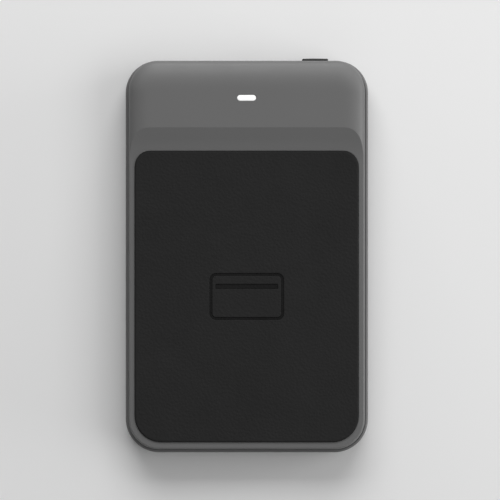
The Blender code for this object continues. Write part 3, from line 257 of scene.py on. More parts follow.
def dress(piece, slotName, *replaced, body="housing", crease=softCrease):
    piece.data.shade_smooth()
    piece.data.set_sharp_from_angle(angle=math.radians(crease))
    piece.modifiers.new("flatFaces", "WEIGHTED_NORMAL").keep_sharp = True
    piece.data.materials.clear()
    piece.data.materials.append(finishes[slotName])
    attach(piece, body)
    if replaced:
        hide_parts(*replaced)


# shader groups: each takes a place and gives values that change over the surface
def newGroup(name, inputs, outputs):
    tree = bpy.data.node_groups.new(name, "ShaderNodeTree")
    tree.interface.new_socket(name="Place", in_out="INPUT", socket_type="NodeSocketVector")
    for label, value in inputs.items():
        kind = "NodeSocketVector" if isinstance(value, tuple) else "NodeSocketFloat"
        tree.interface.new_socket(name=label, in_out="INPUT", socket_type=kind).default_value = value
    for label in outputs:
        tree.interface.new_socket(name=label, in_out="OUTPUT", socket_type="NodeSocketFloat")
    return tree, tree.nodes.new("NodeGroupInput").outputs, tree.nodes.new("NodeGroupOutput").inputs


def plug(tree, sockets, values):  # links what is a socket and sets what is a value
    for key, value in values.items():
        if isinstance(value, bpy.types.NodeSocket):
            tree.links.new(value, sockets[key])
        else:
            sockets[key].default_value = value


def put(tree, kind, values=None, **settings):
    node = tree.nodes.new(kind)
    for key, value in settings.items():
        setattr(node, key, value)
    plug(tree, node.inputs, values or {})
    return node


def useGroup(tree, group, **values):
    return put(tree, "ShaderNodeGroup", values, node_tree=group).outputs


def calc(tree, operation, first, second, clamp=False):
    values = {0: first, 1: second}
    return put(tree, "ShaderNodeMath", values, operation=operation, use_clamp=clamp).outputs[0]


def remap(tree, value, low, high, newLow=0.0, newHigh=1.0):
    values = {"Value": value, "From Min": low, "From Max": high, "To Min": newLow, "To Max": newHigh}
    return put(tree, "ShaderNodeMapRange", values).outputs[0]


def mixColour(tree, factor, first, second):
    return put(tree, "ShaderNodeMix", {0: factor, 6: first, 7: second}, data_type="RGBA").outputs[2]


def noise(tree, place, scale, detail, **values):
    values = {"Vector": place, "Scale": scale, "Detail": detail, **values}
    return put(tree, "ShaderNodeTexNoise", values).outputs[0]


def bump(tree, **values):
    return put(tree, "ShaderNodeBump", values).outputs[0]


grainForm = dict(
    detail=3.0, pebbleScale=0.55, pebbleBlend=0.5, pebbleReach=0.75, toneScale=55.0, toneSpan=(0.3, 0.7))


def makeGrainGroup(form):  # fine mould texture: noise, with pebbles mixed in
    tree, given, out = newGroup("mouldGrain", {"Scale": 5000.0, "Pebble": 0.3}, ("Height", "Tone"))
    place, scale, share = given["Place"], given["Scale"], given["Pebble"]
    fine = noise(tree, place, scale, form["detail"])
    wide = calc(tree, "MULTIPLY", scale, form["pebbleScale"])
    values = {"Vector": place, "Scale": wide, "Smoothness": form["pebbleBlend"]}
    cells = put(tree, "ShaderNodeTexVoronoi", values, feature="SMOOTH_F1")
    pebble = remap(tree, cells.outputs["Distance"], 0.0, form["pebbleReach"], 1.0, 0.0)
    grain = calc(tree, "MULTIPLY", fine, calc(tree, "SUBTRACT", 1.0, share))
    height = put(tree, "ShaderNodeMath", {0: pebble, 1: share, 2: grain}, operation="MULTIPLY_ADD")
    tone = remap(tree, noise(tree, place, form["toneScale"], form["detail"]), *form["toneSpan"])
    plug(tree, out, {"Height": height.outputs[0], "Tone": tone})
    return tree


# edges lightened partly as wear and partly as a painted highlight
rubAndHighlightForm = dict(samples=6, edge=(0.985, 0.86), patchScale=700.0, patchDetail=4.0, patch=(0.36, 0.68))


def makeRubAndHighlightGroup(form):  # rubbed edges that are also a painted highlight on every convex edge, broken up so that they don't look drawn on
    tree, given, out = newGroup("edgeRubAndHighlight", {"Reach": 0.3 * mm, "Amount": 0.5}, ("Mask",))
    rounded = put(tree, "ShaderNodeBevel", {"Radius": given["Reach"]}, samples=form["samples"])
    facing = put(tree, "ShaderNodeNewGeometry")
    values = {0: rounded.outputs[0], 1: facing.outputs["Normal"]}
    along = put(tree, "ShaderNodeVectorMath", values, operation="DOT_PRODUCT").outputs["Value"]
    edgeWearAndHighlight = remap(tree, noise(tree, given["Place"], form["patchScale"], form["patchDetail"]), *form["patch"])
    mask = calc(tree, "MULTIPLY", remap(tree, along, *form["edge"]), edgeWearAndHighlight)
    plug(tree, out, {"Mask": calc(tree, "MULTIPLY", mask, given["Amount"], clamp=True)})
    return tree


smudgeForm = dict(scale=90.0, detail=5.0, distortion=0.8, span=(0.3, 0.7))


def makeSmudgeGroup(form):  # where hands and cards have polished or dulled a face
    tree, given, out = newGroup("handSmudge", {"Roughness": 0.5, "Spread": 0.06}, ("Roughness",))
    cloud = noise(tree, given["Place"], form["scale"], form["detail"], Distortion=form["distortion"])
    swing = calc(tree, "MULTIPLY", remap(tree, cloud, *form["span"], -1.0, 1.0), given["Spread"])
    plug(tree, out, {"Roughness": calc(tree, "ADD", given["Roughness"], swing, clamp=True)})
    return tree


drawnForm = dict(detail=4.0, roughness=0.65, lines=(0.25, 0.75), shade=(0.82, 1.08))


def makeDrawnGroup(form):  # lines left by rolling, drawing or turning
    tree, given, out = newGroup("drawnLines", {"Stretch": (200.0, 6000.0, 6000.0)}, ("Height", "Shade"))
    values = {0: given["Place"], 1: given["Stretch"]}
    long = put(tree, "ShaderNodeVectorMath", values, operation="MULTIPLY").outputs["Vector"]
    lines = noise(tree, long, 1.0, form["detail"], Roughness=form["roughness"])
    plug(tree, out, {"Height": lines, "Shade": remap(tree, lines, *form["lines"], *form["shade"])})
    return tree


traceForm = dict(upright=0.5, bare=0.35, run=(0.26, 0.32), hole=(0.085, 0.055))


def makeTraceGroup(form):  # copper runs and through holes under a board's lacquer
    tree, given, out = newGroup("boardTraces", {"Scale": 330.0, "Runs": 5.0}, ("Trace", "Hole"))
    values = {"Vector": given["Place"], "Scale": given["Scale"]}
    flat = {"feature": "F1", "voronoi_dimensions": "2D"}
    square = {**values, "Randomness": 0.0}
    fields = put(tree, "ShaderNodeTexVoronoi", square, distance="CHEBYCHEV", **flat)
    chance = put(tree, "ShaderNodeSeparateColor", {0: fields.outputs["Color"]}).outputs
    axes = put(tree, "ShaderNodeSeparateXYZ", {0: given["Place"]}).outputs
    upright = calc(tree, "GREATER_THAN", chance["Red"], form["upright"])  # up or across, field by field
    along = put(tree, "ShaderNodeMix", {0: upright, 2: axes["X"], 3: axes["Y"]}).outputs[0]
    lines = calc(tree, "MULTIPLY", calc(tree, "MULTIPLY", along, given["Scale"]), given["Runs"])
    run = remap(tree, calc(tree, "PINGPONG", lines, 0.5), *form["run"])
    wired = calc(tree, "GREATER_THAN", chance["Green"], form["bare"])
    spots = put(tree, "ShaderNodeTexVoronoi", values, **flat)
    hole = remap(tree, spots.outputs["Distance"], *form["hole"])
    plug(tree, out, {"Trace": calc(tree, "MULTIPLY", run, wired), "Hole": hole})
    return tree


grainGroup = makeGrainGroup(grainForm)
rubAndHighlightGroup = makeRubAndHighlightGroup(rubAndHighlightForm)
smudgeGroup = makeSmudgeGroup(smudgeForm)
drawnGroup = makeDrawnGroup(drawnForm)
traceGroup = makeTraceGroup(traceForm)
print("shader groups built")


# finishes
def startMaterial(name):
    material = bpy.data.materials.new(name)
    material.use_nodes = True
    put(material.node_tree, "ShaderNodeTexCoord")
    return material


def partsOf(material):
    tree = material.node_tree
    sockets = tree.nodes["Principled BSDF"].inputs
    return tree, sockets, tree.nodes["Texture Coordinate"].outputs["Object"]


def tinted(colour, share=1.0):
    return (*(min(1.0, channel * share) for channel in colour), 1.0)


def grey(level):
    return (level, level, level)


def makeFinish(name, look):  # lines or grain, rubbed edges that also carry a painted highlight, handled faces and the surface's relief
    material = startMaterial(name)
    tree, sockets, place = partsOf(material)
    if "stretch" in look:  # metals
        marks = useGroup(tree, drawnGroup, Place=place, Stretch=look["stretch"])
        mask, shares = marks["Shade"], (look["shade"], 1.0)
        plug(tree, sockets, {"Metallic": 1.0})
    else:  # plastics, rubber, foam, film and laminate
        marks = useGroup(tree, grainGroup, Place=place, Scale=look["grainScale"], Pebble=look["pebble"])
        mask, shares = marks["Tone"], (1 - look["mottle"], 1 + look["mottle"])
        plug(tree, sockets, {"Specular IOR Level": look["shine"]})
    colour = mixColour(tree, mask, *(tinted(look["colour"], share) for share in shares))
    # lighter edges: partly wear, partly a painted highlight on every convex edge
    rub = useGroup(tree, rubAndHighlightGroup, Place=place, Reach=look["rubAndHighlightReach"], Amount=look["rub"])
    edgeWearAndHighlight = mixColour(tree, rub["Mask"], colour, tinted(look["rubAndHighlightColour"]))
    smudge = useGroup(tree, smudgeGroup, Place=place, Roughness=look["roughness"], Spread=look["smudge"])
    relief = bump(tree, Height=marks["Height"], Strength=look["bump"], Distance=look["relief"])
    plug(tree, sockets, {"Base Color": edgeWearAndHighlight, "Roughness": smudge["Roughness"], "Normal": relief})
    return material


# the edge values below lighten convex edges, partly as wear and partly as a painted highlight
plainMould = dict(
    colour=grey(0.113), roughness=0.52, smudge=0.04, shine=0.4, grainScale=5200.0, pebble=0.35,
    relief=0.02 * mm, bump=0.35, mottle=0.012, rub=0.12, rubAndHighlightReach=0.22 * mm, rubAndHighlightColour=grey(0.153))
mouldLooks = {  # what differs from plainMould
    "case_plastic": {},
    "pad_plastic": dict(
        colour=grey(0.0127), roughness=0.72, shine=0.13, grainScale=2600.0, pebble=0.75,
        relief=0.09 * mm, bump=0.7, mottle=0.06, rub=0.35, rubAndHighlightColour=grey(0.032)),
    "button_plastic": dict(
        colour=grey(0.018), roughness=0.46, shine=0.25, grainScale=7000.0,
        rub=0.3, rubAndHighlightReach=0.15 * mm, rubAndHighlightColour=grey(0.06)),
    "lens_plastic": dict(
        colour=grey(0.86), roughness=0.28, shine=0.5, grainScale=2500.0, relief=0.004 * mm, mottle=0.02,
        rub=0.3, rubAndHighlightColour=grey(0.92)),
    "foot_rubber": dict(
        colour=grey(0.016), roughness=0.82, shine=0.25, grainScale=3600.0, pebble=0.5,
        relief=0.04 * mm, mottle=0.1, rub=0.8, rubAndHighlightColour=grey(0.05)),
    "black_moulding": dict(
        colour=(0.013, 0.013, 0.014), roughness=0.45, mottle=0.08,
        rub=0.5, rubAndHighlightReach=0.1 * mm, rubAndHighlightColour=grey(0.04)),
    "ivory_moulding": dict(
        colour=(0.66, 0.60, 0.47), roughness=0.48, mottle=0.03,
        rub=0.4, rubAndHighlightReach=0.1 * mm, rubAndHighlightColour=(0.78, 0.74, 0.64)),
    "adhesive_film": dict(
        colour=(0.55, 0.52, 0.43), roughness=0.38, grainScale=1800.0, pebble=0.6, mottle=0.06,
        rub=0.3, rubAndHighlightColour=(0.66, 0.64, 0.56)),
    "amber_film": dict(
        colour=(0.48, 0.20, 0.02), roughness=0.3, shine=0.5, grainScale=2400.0, mottle=0.05,
        rub=0.4, rubAndHighlightColour=(0.60, 0.32, 0.06)),
    "ferrite": dict(
        colour=(0.027, 0.025, 0.024), roughness=0.58, grainScale=4200.0, pebble=0.2, mottle=0.15,
        rub=0.6, rubAndHighlightColour=(0.06, 0.056, 0.054)),
    "foam": dict(
        colour=grey(0.085), roughness=0.95, shine=0.1, grainScale=2200.0, pebble=0.95,
        relief=0.25 * mm, bump=0.9, mottle=0.12, rub=0.2),
    "red_jacket": dict(
        colour=(0.50, 0.018, 0.016), roughness=0.4, mottle=0.05, rub=0.3, rubAndHighlightColour=(0.62, 0.08, 0.07)),
    "black_jacket": dict(
        colour=(0.013, 0.013, 0.014), roughness=0.4, grainScale=3000.0, mottle=0.08,
        rub=0.5, rubAndHighlightReach=0.1 * mm, rubAndHighlightColour=grey(0.04)),
    "green_laminate": dict(
        colour=(0.006, 0.060, 0.024), roughness=0.36, shine=0.5, grainScale=3500.0, mottle=0.08,
        rub=0.5, rubAndHighlightReach=0.1 * mm, rubAndHighlightColour=(0.20, 0.24, 0.12)),
}
mouldLooks["bare_laminate"] = mouldLooks["green_laminate"]  # no runs inside the antenna's loop

plainMetal = dict(
    colour=(0.62, 0.62, 0.63), shade=0.7, roughness=0.3, smudge=0.05, stretch=(250.0, 250.0, 9000.0),
    relief=0.004 * mm, bump=0.3, rub=0.5, rubAndHighlightReach=0.12 * mm, rubAndHighlightColour=grey(0.8))
metalLooks = {  # what differs from plainMetal
    "steel": {},
    "tin_plate": dict(colour=(0.68, 0.68, 0.66), roughness=0.36, stretch=(300.0, 7000.0, 300.0)),
    "copper": dict(
        colour=(0.78, 0.36, 0.20), roughness=0.32, stretch=(3000.0, 3000.0, 3000.0),
        rubAndHighlightColour=(0.90, 0.52, 0.34)),
    "gold_plate": dict(
        colour=(0.90, 0.63, 0.26), roughness=0.24, stretch=(6000.0, 400.0, 6000.0),
        rubAndHighlightReach=0.04 * mm, rubAndHighlightColour=(0.96, 0.78, 0.46)),
    "pouch_foil": dict(
        colour=(0.62, 0.63, 0.65), roughness=0.4, stretch=(900.0, 700.0, 900.0),
        relief=0.05 * mm, bump=0.5, rubAndHighlightColour=(0.75, 0.76, 0.78)),
}
finishes = {}
for plain, looks in ((plainMould, mouldLooks), (plainMetal, metalLooks)):
    for slotName, look in looks.items():
        first, *rest = slotName.split("_")
        name = first + "".join(word.title() for word in rest or ["finish"])  # unlike the frame's own names
        finishes[slotName] = makeFinish(name, {**plain, **look})

# painted shade, laid by depth into the sunk mark and over the pad's rounded edges
padRecessShade = dict(colour=grey(0.004), drop=0.22 * mm)


def paintRecessShade(material, look):  # painted shade: the sunk mark and the pad's rounded edges are coloured darker the deeper they lie below its face
    tree, sockets, place = partsOf(material)
    level = put(tree, "ShaderNodeSeparateXYZ", {0: place}).outputs["Z"]
    shadedDepth = remap(tree, level, padTop - 0.5 * look["drop"], padTop - look["drop"])
    face = sockets["Base Color"].links[0].from_socket
    plug(tree, sockets, {"Base Color": mixColour(tree, shadedDepth, face, tinted(look["colour"]))})


lensGlow = dict(strength=0.35, depth=0.4 * mm)


def addGlow(material, look):  # only the top of the lens is lit
    tree, sockets, place = partsOf(material)
    level = put(tree, "ShaderNodeSeparateXYZ", {0: place}).outputs["Z"]
    lit = remap(tree, level, headZ - look["depth"], headZ - 0.5 * look["depth"])
    face = sockets["Base Color"].links[0].from_socket
    colour = mixColour(tree, lit, tinted(grey(0.0)), face)
    plug(tree, sockets, {"Emission Color": colour, "Emission Strength": look["strength"]})


boardRuns = dict(traceColour=(0.016, 0.125, 0.045), holeColour=(0.60, 0.52, 0.36), rise=0.03 * mm)


def addRuns(material, look):  # copper runs show through the lacquer
    tree, sockets, place = partsOf(material)
    runs = useGroup(tree, traceGroup, Place=place)
    under = sockets["Base Color"].links[0].from_socket
    colour = mixColour(tree, runs["Trace"], under, tinted(look["traceColour"]))
    colour = mixColour(tree, runs["Hole"], colour, tinted(look["holeColour"]))
    grain = sockets["Normal"].links[0].from_socket
    rise = bump(tree, Height=runs["Trace"], Distance=look["rise"], Normal=grain)
    plug(tree, sockets, {"Base Color": colour, "Metallic": runs["Hole"], "Normal": rise})


# paints shade into the pad's mark and along its edges
paintRecessShade(finishes["pad_plastic"], padRecessShade)
addGlow(finishes["lens_plastic"], lensGlow)
addRuns(finishes["green_laminate"], boardRuns)
for node in nodes.values():
    for place in node.material_slots:
        place.material = finishes[place.material.name]
nodes["antenna_board"].material_slots[0].material = finishes["bare_laminate"]
print("finishes:", len(finishes))


tapPad = lengths(
    trim=0.12, topTrim=0.15, lowTrim=0.18, lowCorner=7.2, highCorner=4.3, edgeRun=0.5, edgeFall=0.2,
    markSize=(20, 12.6), markCorner=1.8, markLine=0.8, markDepth=0.3, markRim=0.1,
    stripeDrop=3.6, stripe=(16.8, 1.4, 0.3),
) | dict(cornerSteps=16, markSteps=10)


def padOutline(growth):
    look = tapPad
    low, high = padLow.y + look["lowTrim"] - growth, padHigh.y - look["topTrim"] + growth
    radii = look["lowCorner"] + growth, look["highCorner"] + growth
    return plateOutline(padLow.x - growth, padHigh.x + growth, low, high, *radii, look["cornerSteps"])


def cardTool(look, middle, floor):  # frame of the card mark, with rounded rims
    wide, tall = look["markSize"]
    line, corner, steps, rim = look["markLine"], look["markCorner"], look["markSteps"], look["markRim"]
    outer = growingBox(wide, tall, corner, steps)
    inner = growingBox(wide - 2 * line, tall - 2 * line, corner - line, steps)
    levels = mouthLevels(outer, floor, padTop, rim)
    levels += mouthLevels(lambda growth: inner(-growth), floor, padTop, rim)[::-1]
    return stackPiece("cardMark", levels, [(0, middle)], closed=True)


def makeTapPad():
    look = tapPad
    shape = around(padOutline, -look["trim"])
    levels = [(shape(0), padLow.z)] + roundedEdge(shape, padTop, look["edgeRun"], look["edgeFall"])
    pad = stackPiece("tapPad", levels)
    middle = (padLow.y + padHigh.y) / 2
    floor = padTop - look["markDepth"]
    carve(pad, cardTool(look, middle, floor))
    spot = (0, middle + look["markSize"][1] / 2 - look["stripeDrop"])
    carve(pad, mouthTool("cardStripe", growingBox(*look["stripe"]), floor, padTop, look["markRim"], [spot]))
    dress(settle(pad), "pad_plastic", "tap_pad", crease=hardCrease)


lightPipe = lengths(
    size=(5.05, 1.56), flangeReach=1.3, flangeTop=11.9, flangeBase=11.1, edge=0.12, dome=0.08, domeRun=0.68,
) | dict(domeShares=(0.35, 0.7, 0.92))
lensOutline = growingPill(*lightPipe["size"])


def makeLightPipe():
    look = lightPipe
    low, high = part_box("light_pipe")
    stem, flange, edge = lensOutline(0), lensOutline(look["flangeReach"]), look["edge"]
    levels = [(stem, low.z), (stem, look["flangeBase"]), (flange, look["flangeBase"])]
    levels += [(flange, look["flangeTop"]), (stem, look["flangeTop"])]
    shoulder = high.z - look["dome"]
    levels += roundedEdge(lensOutline, shoulder, edge, edge)
    dome = lambda share: lensOutline(-edge - look["domeRun"] * share)
    levels += crownedFace(dome, look["domeShares"], shoulder, look["dome"])
    dress(stackPiece("lightPipe", levels, [middleOf("light_pipe")]), "lens_plastic", "light_pipe")


powerKey = lengths(
    size=(7.0, 2.4), corner=0.9, edge=0.3, crown=0.06, earFront=2.1, earBack=2.9, earCorner=0.9,
    pusher=(1.6, 0.9, 0.22), pusherTip=3.3,
) | dict(crownShares=(0.3, 0.6, 0.85))
keyLow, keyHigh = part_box("power_button")
keySpot = middleOf("power_button", (0, 2))
keyOutline = growingBox(*powerKey["size"], powerKey["corner"])


def makePowerKey():
    look = powerKey
    earFront, earBack, edge = top - look["earFront"], top - look["earBack"], look["edge"]
    pusher = roundRect(*look["pusher"])
    ears = roundRect(keyHigh.x - keyLow.x, keyHigh.z - keyLow.z, look["earCorner"])
    levels = [(pusher, top - look["pusherTip"]), (pusher, earBack), (ears, earBack)]
    levels += [(ears, earFront), (keyOutline(0), earFront)]
    face = keyHigh.y - look["crown"]
    levels += roundedEdge(keyOutline, face, edge, edge)
    crown = lambda share: [(x * (1 - share), z * (1 - share)) for x, z in keyOutline(-edge)]
    levels += crownedFace(crown, look["crownShares"], face, look["crown"])  # towards the finger
    key = stackPiece("powerKey", levels, [keySpot], uprightRing)
    dress(key, "button_plastic", "power_button", body="button")


housing = lengths(
    topCorner=8.5, bottomCorner=9.0, wall=1.8, gap=0.3, reveal=0.80, lipDrop=0.8, lipRise=1.2, lipThick=0.9,
    root=0.7,
) | dict(cornerSteps=16, boreSteps=24)
lipOuter = housing["wall"] + housing["gap"]
lipInner = lipOuter + housing["lipThick"]
screwSpots, boardSpots = middlesOf("housing_screw_"), middlesOf("board_screw_")


def housingOutline(sideIn, topIn):
    radii = housing["bottomCorner"], housing["topCorner"]
    return plateOutline(-side, side, -top, top, *radii, housing["cornerSteps"], sideIn, topIn)


frontShell = lengths(
    edgeHeight=4.2, sideRun=6.5, topRun=8.2, hollowRun=2.4, hollowTopRun=5.55, foldRadius=0.25,
    deckDrop=1.8, deckWall=1.4, rampRun=5.95, rampFootGap=0.15, footRun=3.0,
    pocketGap=0.06, pocketRim=0.06, lensGap=0.06, lensRim=0.08,
    bossRadius=2.8, bossDrop=2.6, screwBore=1.3, screwBoreTop=10.1,
    boardBoss=2.0, boardSeat=8.1, boardBore=1.1, boardBoreTop=11.4,
    pegRadius=0.8, pegHead=1.5, pegHeadHeight=0.45, pegInset=2.2,
) | dict(edgePower=3.0, topPower=2.6, edgeSteps=28, footSteps=12)
deckZ = headZ - frontShell["deckDrop"]
pocketFloor = padLow.z - housing["gap"]
deckCeiling = pocketFloor - frontShell["deckWall"]
headCeiling = headZ - housing["wall"]
rampSlope = frontShell["deckDrop"] / frontShell["rampRun"]
rampFoot = padHigh.y + frontShell["rampFootGap"]
bossEnd = partingZ - frontShell["bossDrop"]


def frontSkin():
    look = frontShell
    lip = housingOutline(lipOuter, lipOuter)
    wallBase = partingZ + housing["gap"]
    levels = [(lip, partingZ - housing["lipDrop"]), (lip, wallBase)]
    for inward, z in bend(0, wallBase, look["foldRadius"], look["foldRadius"]):  # one side of the seam
        levels.append((housingOutline(housing["reveal"] + inward, inward), z))
    for rise, inset in squarerRound(look["edgeSteps"], look["edgePower"]):
        topInset = 1 - max(0.0, 1 - rise ** look["topPower"]) ** (1 / look["topPower"])
        outline = housingOutline(housing["reveal"] + look["sideRun"] * inset, look["topRun"] * topInset)
        levels.append((outline, headZ - look["edgeHeight"] * (1 - rise)))
    return stackPiece("frontShell", levels)


def frontHollow():
    look = frontShell
    inner, lip = housing["reveal"] + housing["wall"], housingOutline(lipInner, lipInner)
    lipTop = partingZ + housing["lipRise"]
    levels = [(lip, 0.0), (lip, lipTop), (housingOutline(inner, inner), lipTop)]
    for rise, inset in quarterRound():
        outline = housingOutline(inner + look["hollowRun"] * inset, inner + look["hollowTopRun"] * inset)
        levels.append((outline, headCeiling - look["hollowRun"] * (1 - rise)))
    hollow = stackPiece("frontHollow", levels)
    rampWall = look["deckWall"] * math.hypot(1, rampSlope)
    step = padHigh.y + housing["gap"] + look["deckWall"]
    stepTop = deckZ + rampSlope * (step - rampFoot) - rampWall
    rampEnd = rampFoot + (headZ + rampWall - deckZ) / rampSlope
    kept = [(-top, deckCeiling), (step, deckCeiling), (step, stepTop), (rampEnd, headZ), (-top, headZ)]
    carve(hollow, prismTool("deckMaterial", kept))
    return settle(hollow)


def deckProfile():  # the deck runs up into the ramp in a soft bend
    over = headZ + overCut
    run, steps = frontShell["footRun"], frontShell["footSteps"]
    profile = [(-2 * top, over), (-2 * top, deckZ)]
    for step in range(steps + 1):
        share = step / steps
        y = rampFoot - run * (1 - share) ** 2 + run * share ** 2
        profile.append((y, deckZ + rampSlope * run * share ** 2))
    return profile + [(rampFoot + (over - deckZ) / rampSlope, over)]


def antennaPegs():
    look = frontShell
    low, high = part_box("antenna_board")
    headTop, inset = low.z - housing["gap"], look["pegInset"]
    profile = [(look["pegHead"], headTop - look["pegHeadHeight"]), (look["pegHead"], headTop)]
    profile += [(look["pegRadius"], headTop), (look["pegRadius"], deckCeiling + housing["root"])]
    spots = [(x, y) for x in (low.x + inset, high.x - inset) for y in (low.y + inset, high.y - inset)]
    return turnedPiece("antennaPegs", profile, spots, housing["boreSteps"])


def makeFrontShell():
    look = frontShell
    pocket = around(padOutline, look["pocketGap"] - tapPad["trim"])
    lensHole, lensSpots = around(lensOutline, look["lensGap"]), [middleOf("light_pipe")]
    shell = frontSkin()
    carve(shell, prismTool("deckTool", deckProfile()))
    carve(shell, mouthTool("padPocket", pocket, pocketFloor, deckZ, look["pocketRim"]))
    carve(shell, frontHollow())
    for name, radius, low, high, spots in (
        ("headBosses", look["bossRadius"], bossEnd, headCeiling, screwSpots[:2]),
        ("deckBosses", look["bossRadius"], bossEnd, deckCeiling, screwSpots[2:]),
        ("boardBosses", look["boardBoss"], look["boardSeat"], headCeiling, boardSpots),
    ):
        carve(shell, postTool(name, radius, low, high + housing["root"], spots), "UNION")
    carve(shell, antennaPegs(), "UNION")
    for name, radius, low, high, spots in (
        ("screwBores", look["screwBore"], bossEnd, look["screwBoreTop"], screwSpots),
        ("boardBores", look["boardBore"], look["boardSeat"], look["boardBoreTop"], boardSpots),
    ):
        carve(shell, postTool(name, radius, low - overCut, high, spots, housing["boreSteps"]))
    carve(shell, mouthTool("lensSlot", lensHole, headCeiling - overCut, headZ, look["lensRim"], lensSpots))
    dress(settle(shell), "case_plastic", "front_shell", crease=hardCrease)


rearShell = lengths(
    edgeRadius=3.0, rimRadius=0.6, rimWidth=0.72, seamRadius=0.05, seamDepth=0.4, postRadius=3.1,
    headBore=2.4, bore=1.3, bearing=2.4, wellRim=0.2, footGap=0.3, footRim=0.15,
    label=(40, 24, 2), labelY=-10, labelDepth=0.3, labelRim=0.12,
    soundRadius=0.6, soundCircle=2.2, soundRim=0.15, slotRim=0.2, keyGap=0.25,
    ribGap=0.4, ribThick=1.0, ribHeight=1.6, ribCorner=2.0,
) | dict(edgeSteps=16, seamSteps=5, hollowSteps=6, wellSteps=32, footSteps=64, soundCount=6)
rearFloor = backZ + housing["wall"]
portLow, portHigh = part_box("cable_port_shell")
portSize = portHigh.x - portLow.x, portHigh.z - portLow.z
portSpot = middleOf("cable_port_shell", (0, 2))


def evenLevels(insets):
    return [(housingOutline(inward, inward), z) for inward, z in insets]


def rearSkin():
    look = rearShell
    edge, rim, seam = look["edgeRadius"], look["rimRadius"], look["seamRadius"]
    insets = bend(0, backZ, edge, edge, look["edgeSteps"]) + bend(0, partingZ, rim, -rim)[::-1]
    insets += bend(look["rimWidth"], partingZ, -seam, -seam, look["seamSteps"])  # down into the seam
    insets.append((housing["reveal"], partingZ - look["seamDepth"]))
    return stackPiece("rearShell", evenLevels(insets))


def rearHollow():
    wall, radius = housing["wall"], rearShell["edgeRadius"] - housing["wall"]
    insets = bend(wall, rearFloor, radius, radius, rearShell["hollowSteps"])
    return stackPiece("rearHollow", evenLevels(insets + [(wall, partingZ + overCut)]))


def batteryRibs():
    look = rearShell
    low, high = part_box("battery_cell")
    cell = growingBox(high.x - low.x, high.y - low.y, look["ribCorner"])
    inner, outer = cell(look["ribGap"]), cell(look["ribGap"] + look["ribThick"])
    foot, crest = rearFloor - housing["root"], rearFloor + look["ribHeight"]
    levels = [(inner, foot), (outer, foot), (outer, crest), (inner, crest)]
    return stackPiece("batteryRibs", levels, [middleOf("battery_cell")], closed=True)


def soundSpots():
    x, y = middleOf("buzzer")
    ring = circleOutline(rearShell["soundCircle"], rearShell["soundCount"])
    return [(x, y)] + [(x + across, y + up) for across, up in ring]


def makeRearShell():
    look = rearShell
    gap, root, steps = housing["gap"], housing["root"], housing["boreSteps"]
    postTop = bossEnd - gap
    shell = rearSkin()
    carve(shell, rearHollow())
    carve(shell, postTool("screwPosts", look["postRadius"], rearFloor - root, postTop, screwSpots), "UNION")
    carve(shell, batteryRibs(), "UNION")
    well = growingCircle(look["headBore"], look["wellSteps"])
    carve(shell, mouthTool("screwWells", well, backZ + look["bearing"], backZ, look["wellRim"], screwSpots))
    carve(shell, postTool("screwBores", look["bore"], backZ, postTop + overCut, screwSpots, steps))
    low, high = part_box("rubber_foot_1")
    foot = growingCircle((high.x - low.x) / 2 + look["footGap"], look["footSteps"])
    label, labelSpots = growingBox(*look["label"]), [(0, look["labelY"])]
    sound = growingCircle(look["soundRadius"], steps)
    for name, shape, deep, rim, spots in (
        ("footPockets", foot, high.z + gap, look["footRim"], middlesOf("rubber_foot_")),
        ("labelRecess", label, backZ + look["labelDepth"], look["labelRim"], labelSpots),
        ("soundHoles", sound, rearFloor + overCut, look["soundRim"], soundSpots()),
    ):
        carve(shell, mouthTool(name, shape, deep, backZ, rim, spots))
    deep = top - housing["wall"] - look["edgeRadius"]
    for name, shape, spot in (
        ("portSlot", around(growingPill(*portSize), gap), portSpot),
        ("keySlot", around(keyOutline, look["keyGap"]), keySpot),
    ):
        carve(shell, mouthTool(name, shape, deep, top, look["slotRim"], [spot], uprightRing))
    dress(settle(shell), "case_plastic", "rear_shell", crease=hardCrease)


makeFrontShell()
makePowerKey()
makeRearShell()
makeTapPad()
makeLightPipe()
print("shells, power key, tap pad and lamp done")


cablePort = lengths(
    sheet=0.3, hollow=6.0, lip=0.12, tongue=(6.7, 0.7, 0.2), tongueBase=(7.2, 1.7, 0.2), baseDepth=1.0,
    nose=0.22, contactPitch=0.5, contactSize=(0.26, 3.4), contactBack=0.35, contactLift=0.003,
    contactWall=0.03, contactRise=0.05,
) | dict(
    lipSteps=6, sheathSteps=28, tongueSteps=4, contactCount=12, contactCorners=(0.3, 0.2), contactSteps=3)
tongueLow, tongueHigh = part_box("cable_port_tongue")


def makePortSheath():
    look = cablePort
    lip, steps = look["lip"], look["lipSteps"]
    sheath = growingPill(*portSize, look["sheathSteps"])
    inside = lambda growth: sheath(-growth - look["sheet"])
    levels = [(sheath(0), portLow.y)] + roundedEdge(sheath, portHigh.y, lip, lip, steps)
    levels += roundedEdge(inside, portHigh.y, lip, lip, steps)[::-1]
    levels.append((inside(0), portHigh.y - look["hollow"]))
    dress(stackPiece("portSheath", levels, [portSpot], uprightRing), "steel", "cable_port_shell")


def makePortTongue():
    look = cablePort
    steps, nose = look["tongueSteps"], look["nose"]
    wide, tall, corner = look["tongue"]
    base, blade = roundRect(*look["tongueBase"], steps), roundRect(*look["tongue"], steps)
    tip = roundRect(wide - 2 * nose, tall - 2 * nose, corner / 2, steps)
    root = tongueLow.y + look["baseDepth"]
    levels = [(base, tongueLow.y), (base, root), (blade, root)]
    levels += [(blade, tongueHigh.y - nose), (tip, tongueHigh.y)]
    tongue = stackPiece("portTongue", levels, [portSpot], uprightRing)
    dress(tongue, "black_moulding", "cable_port_tongue")


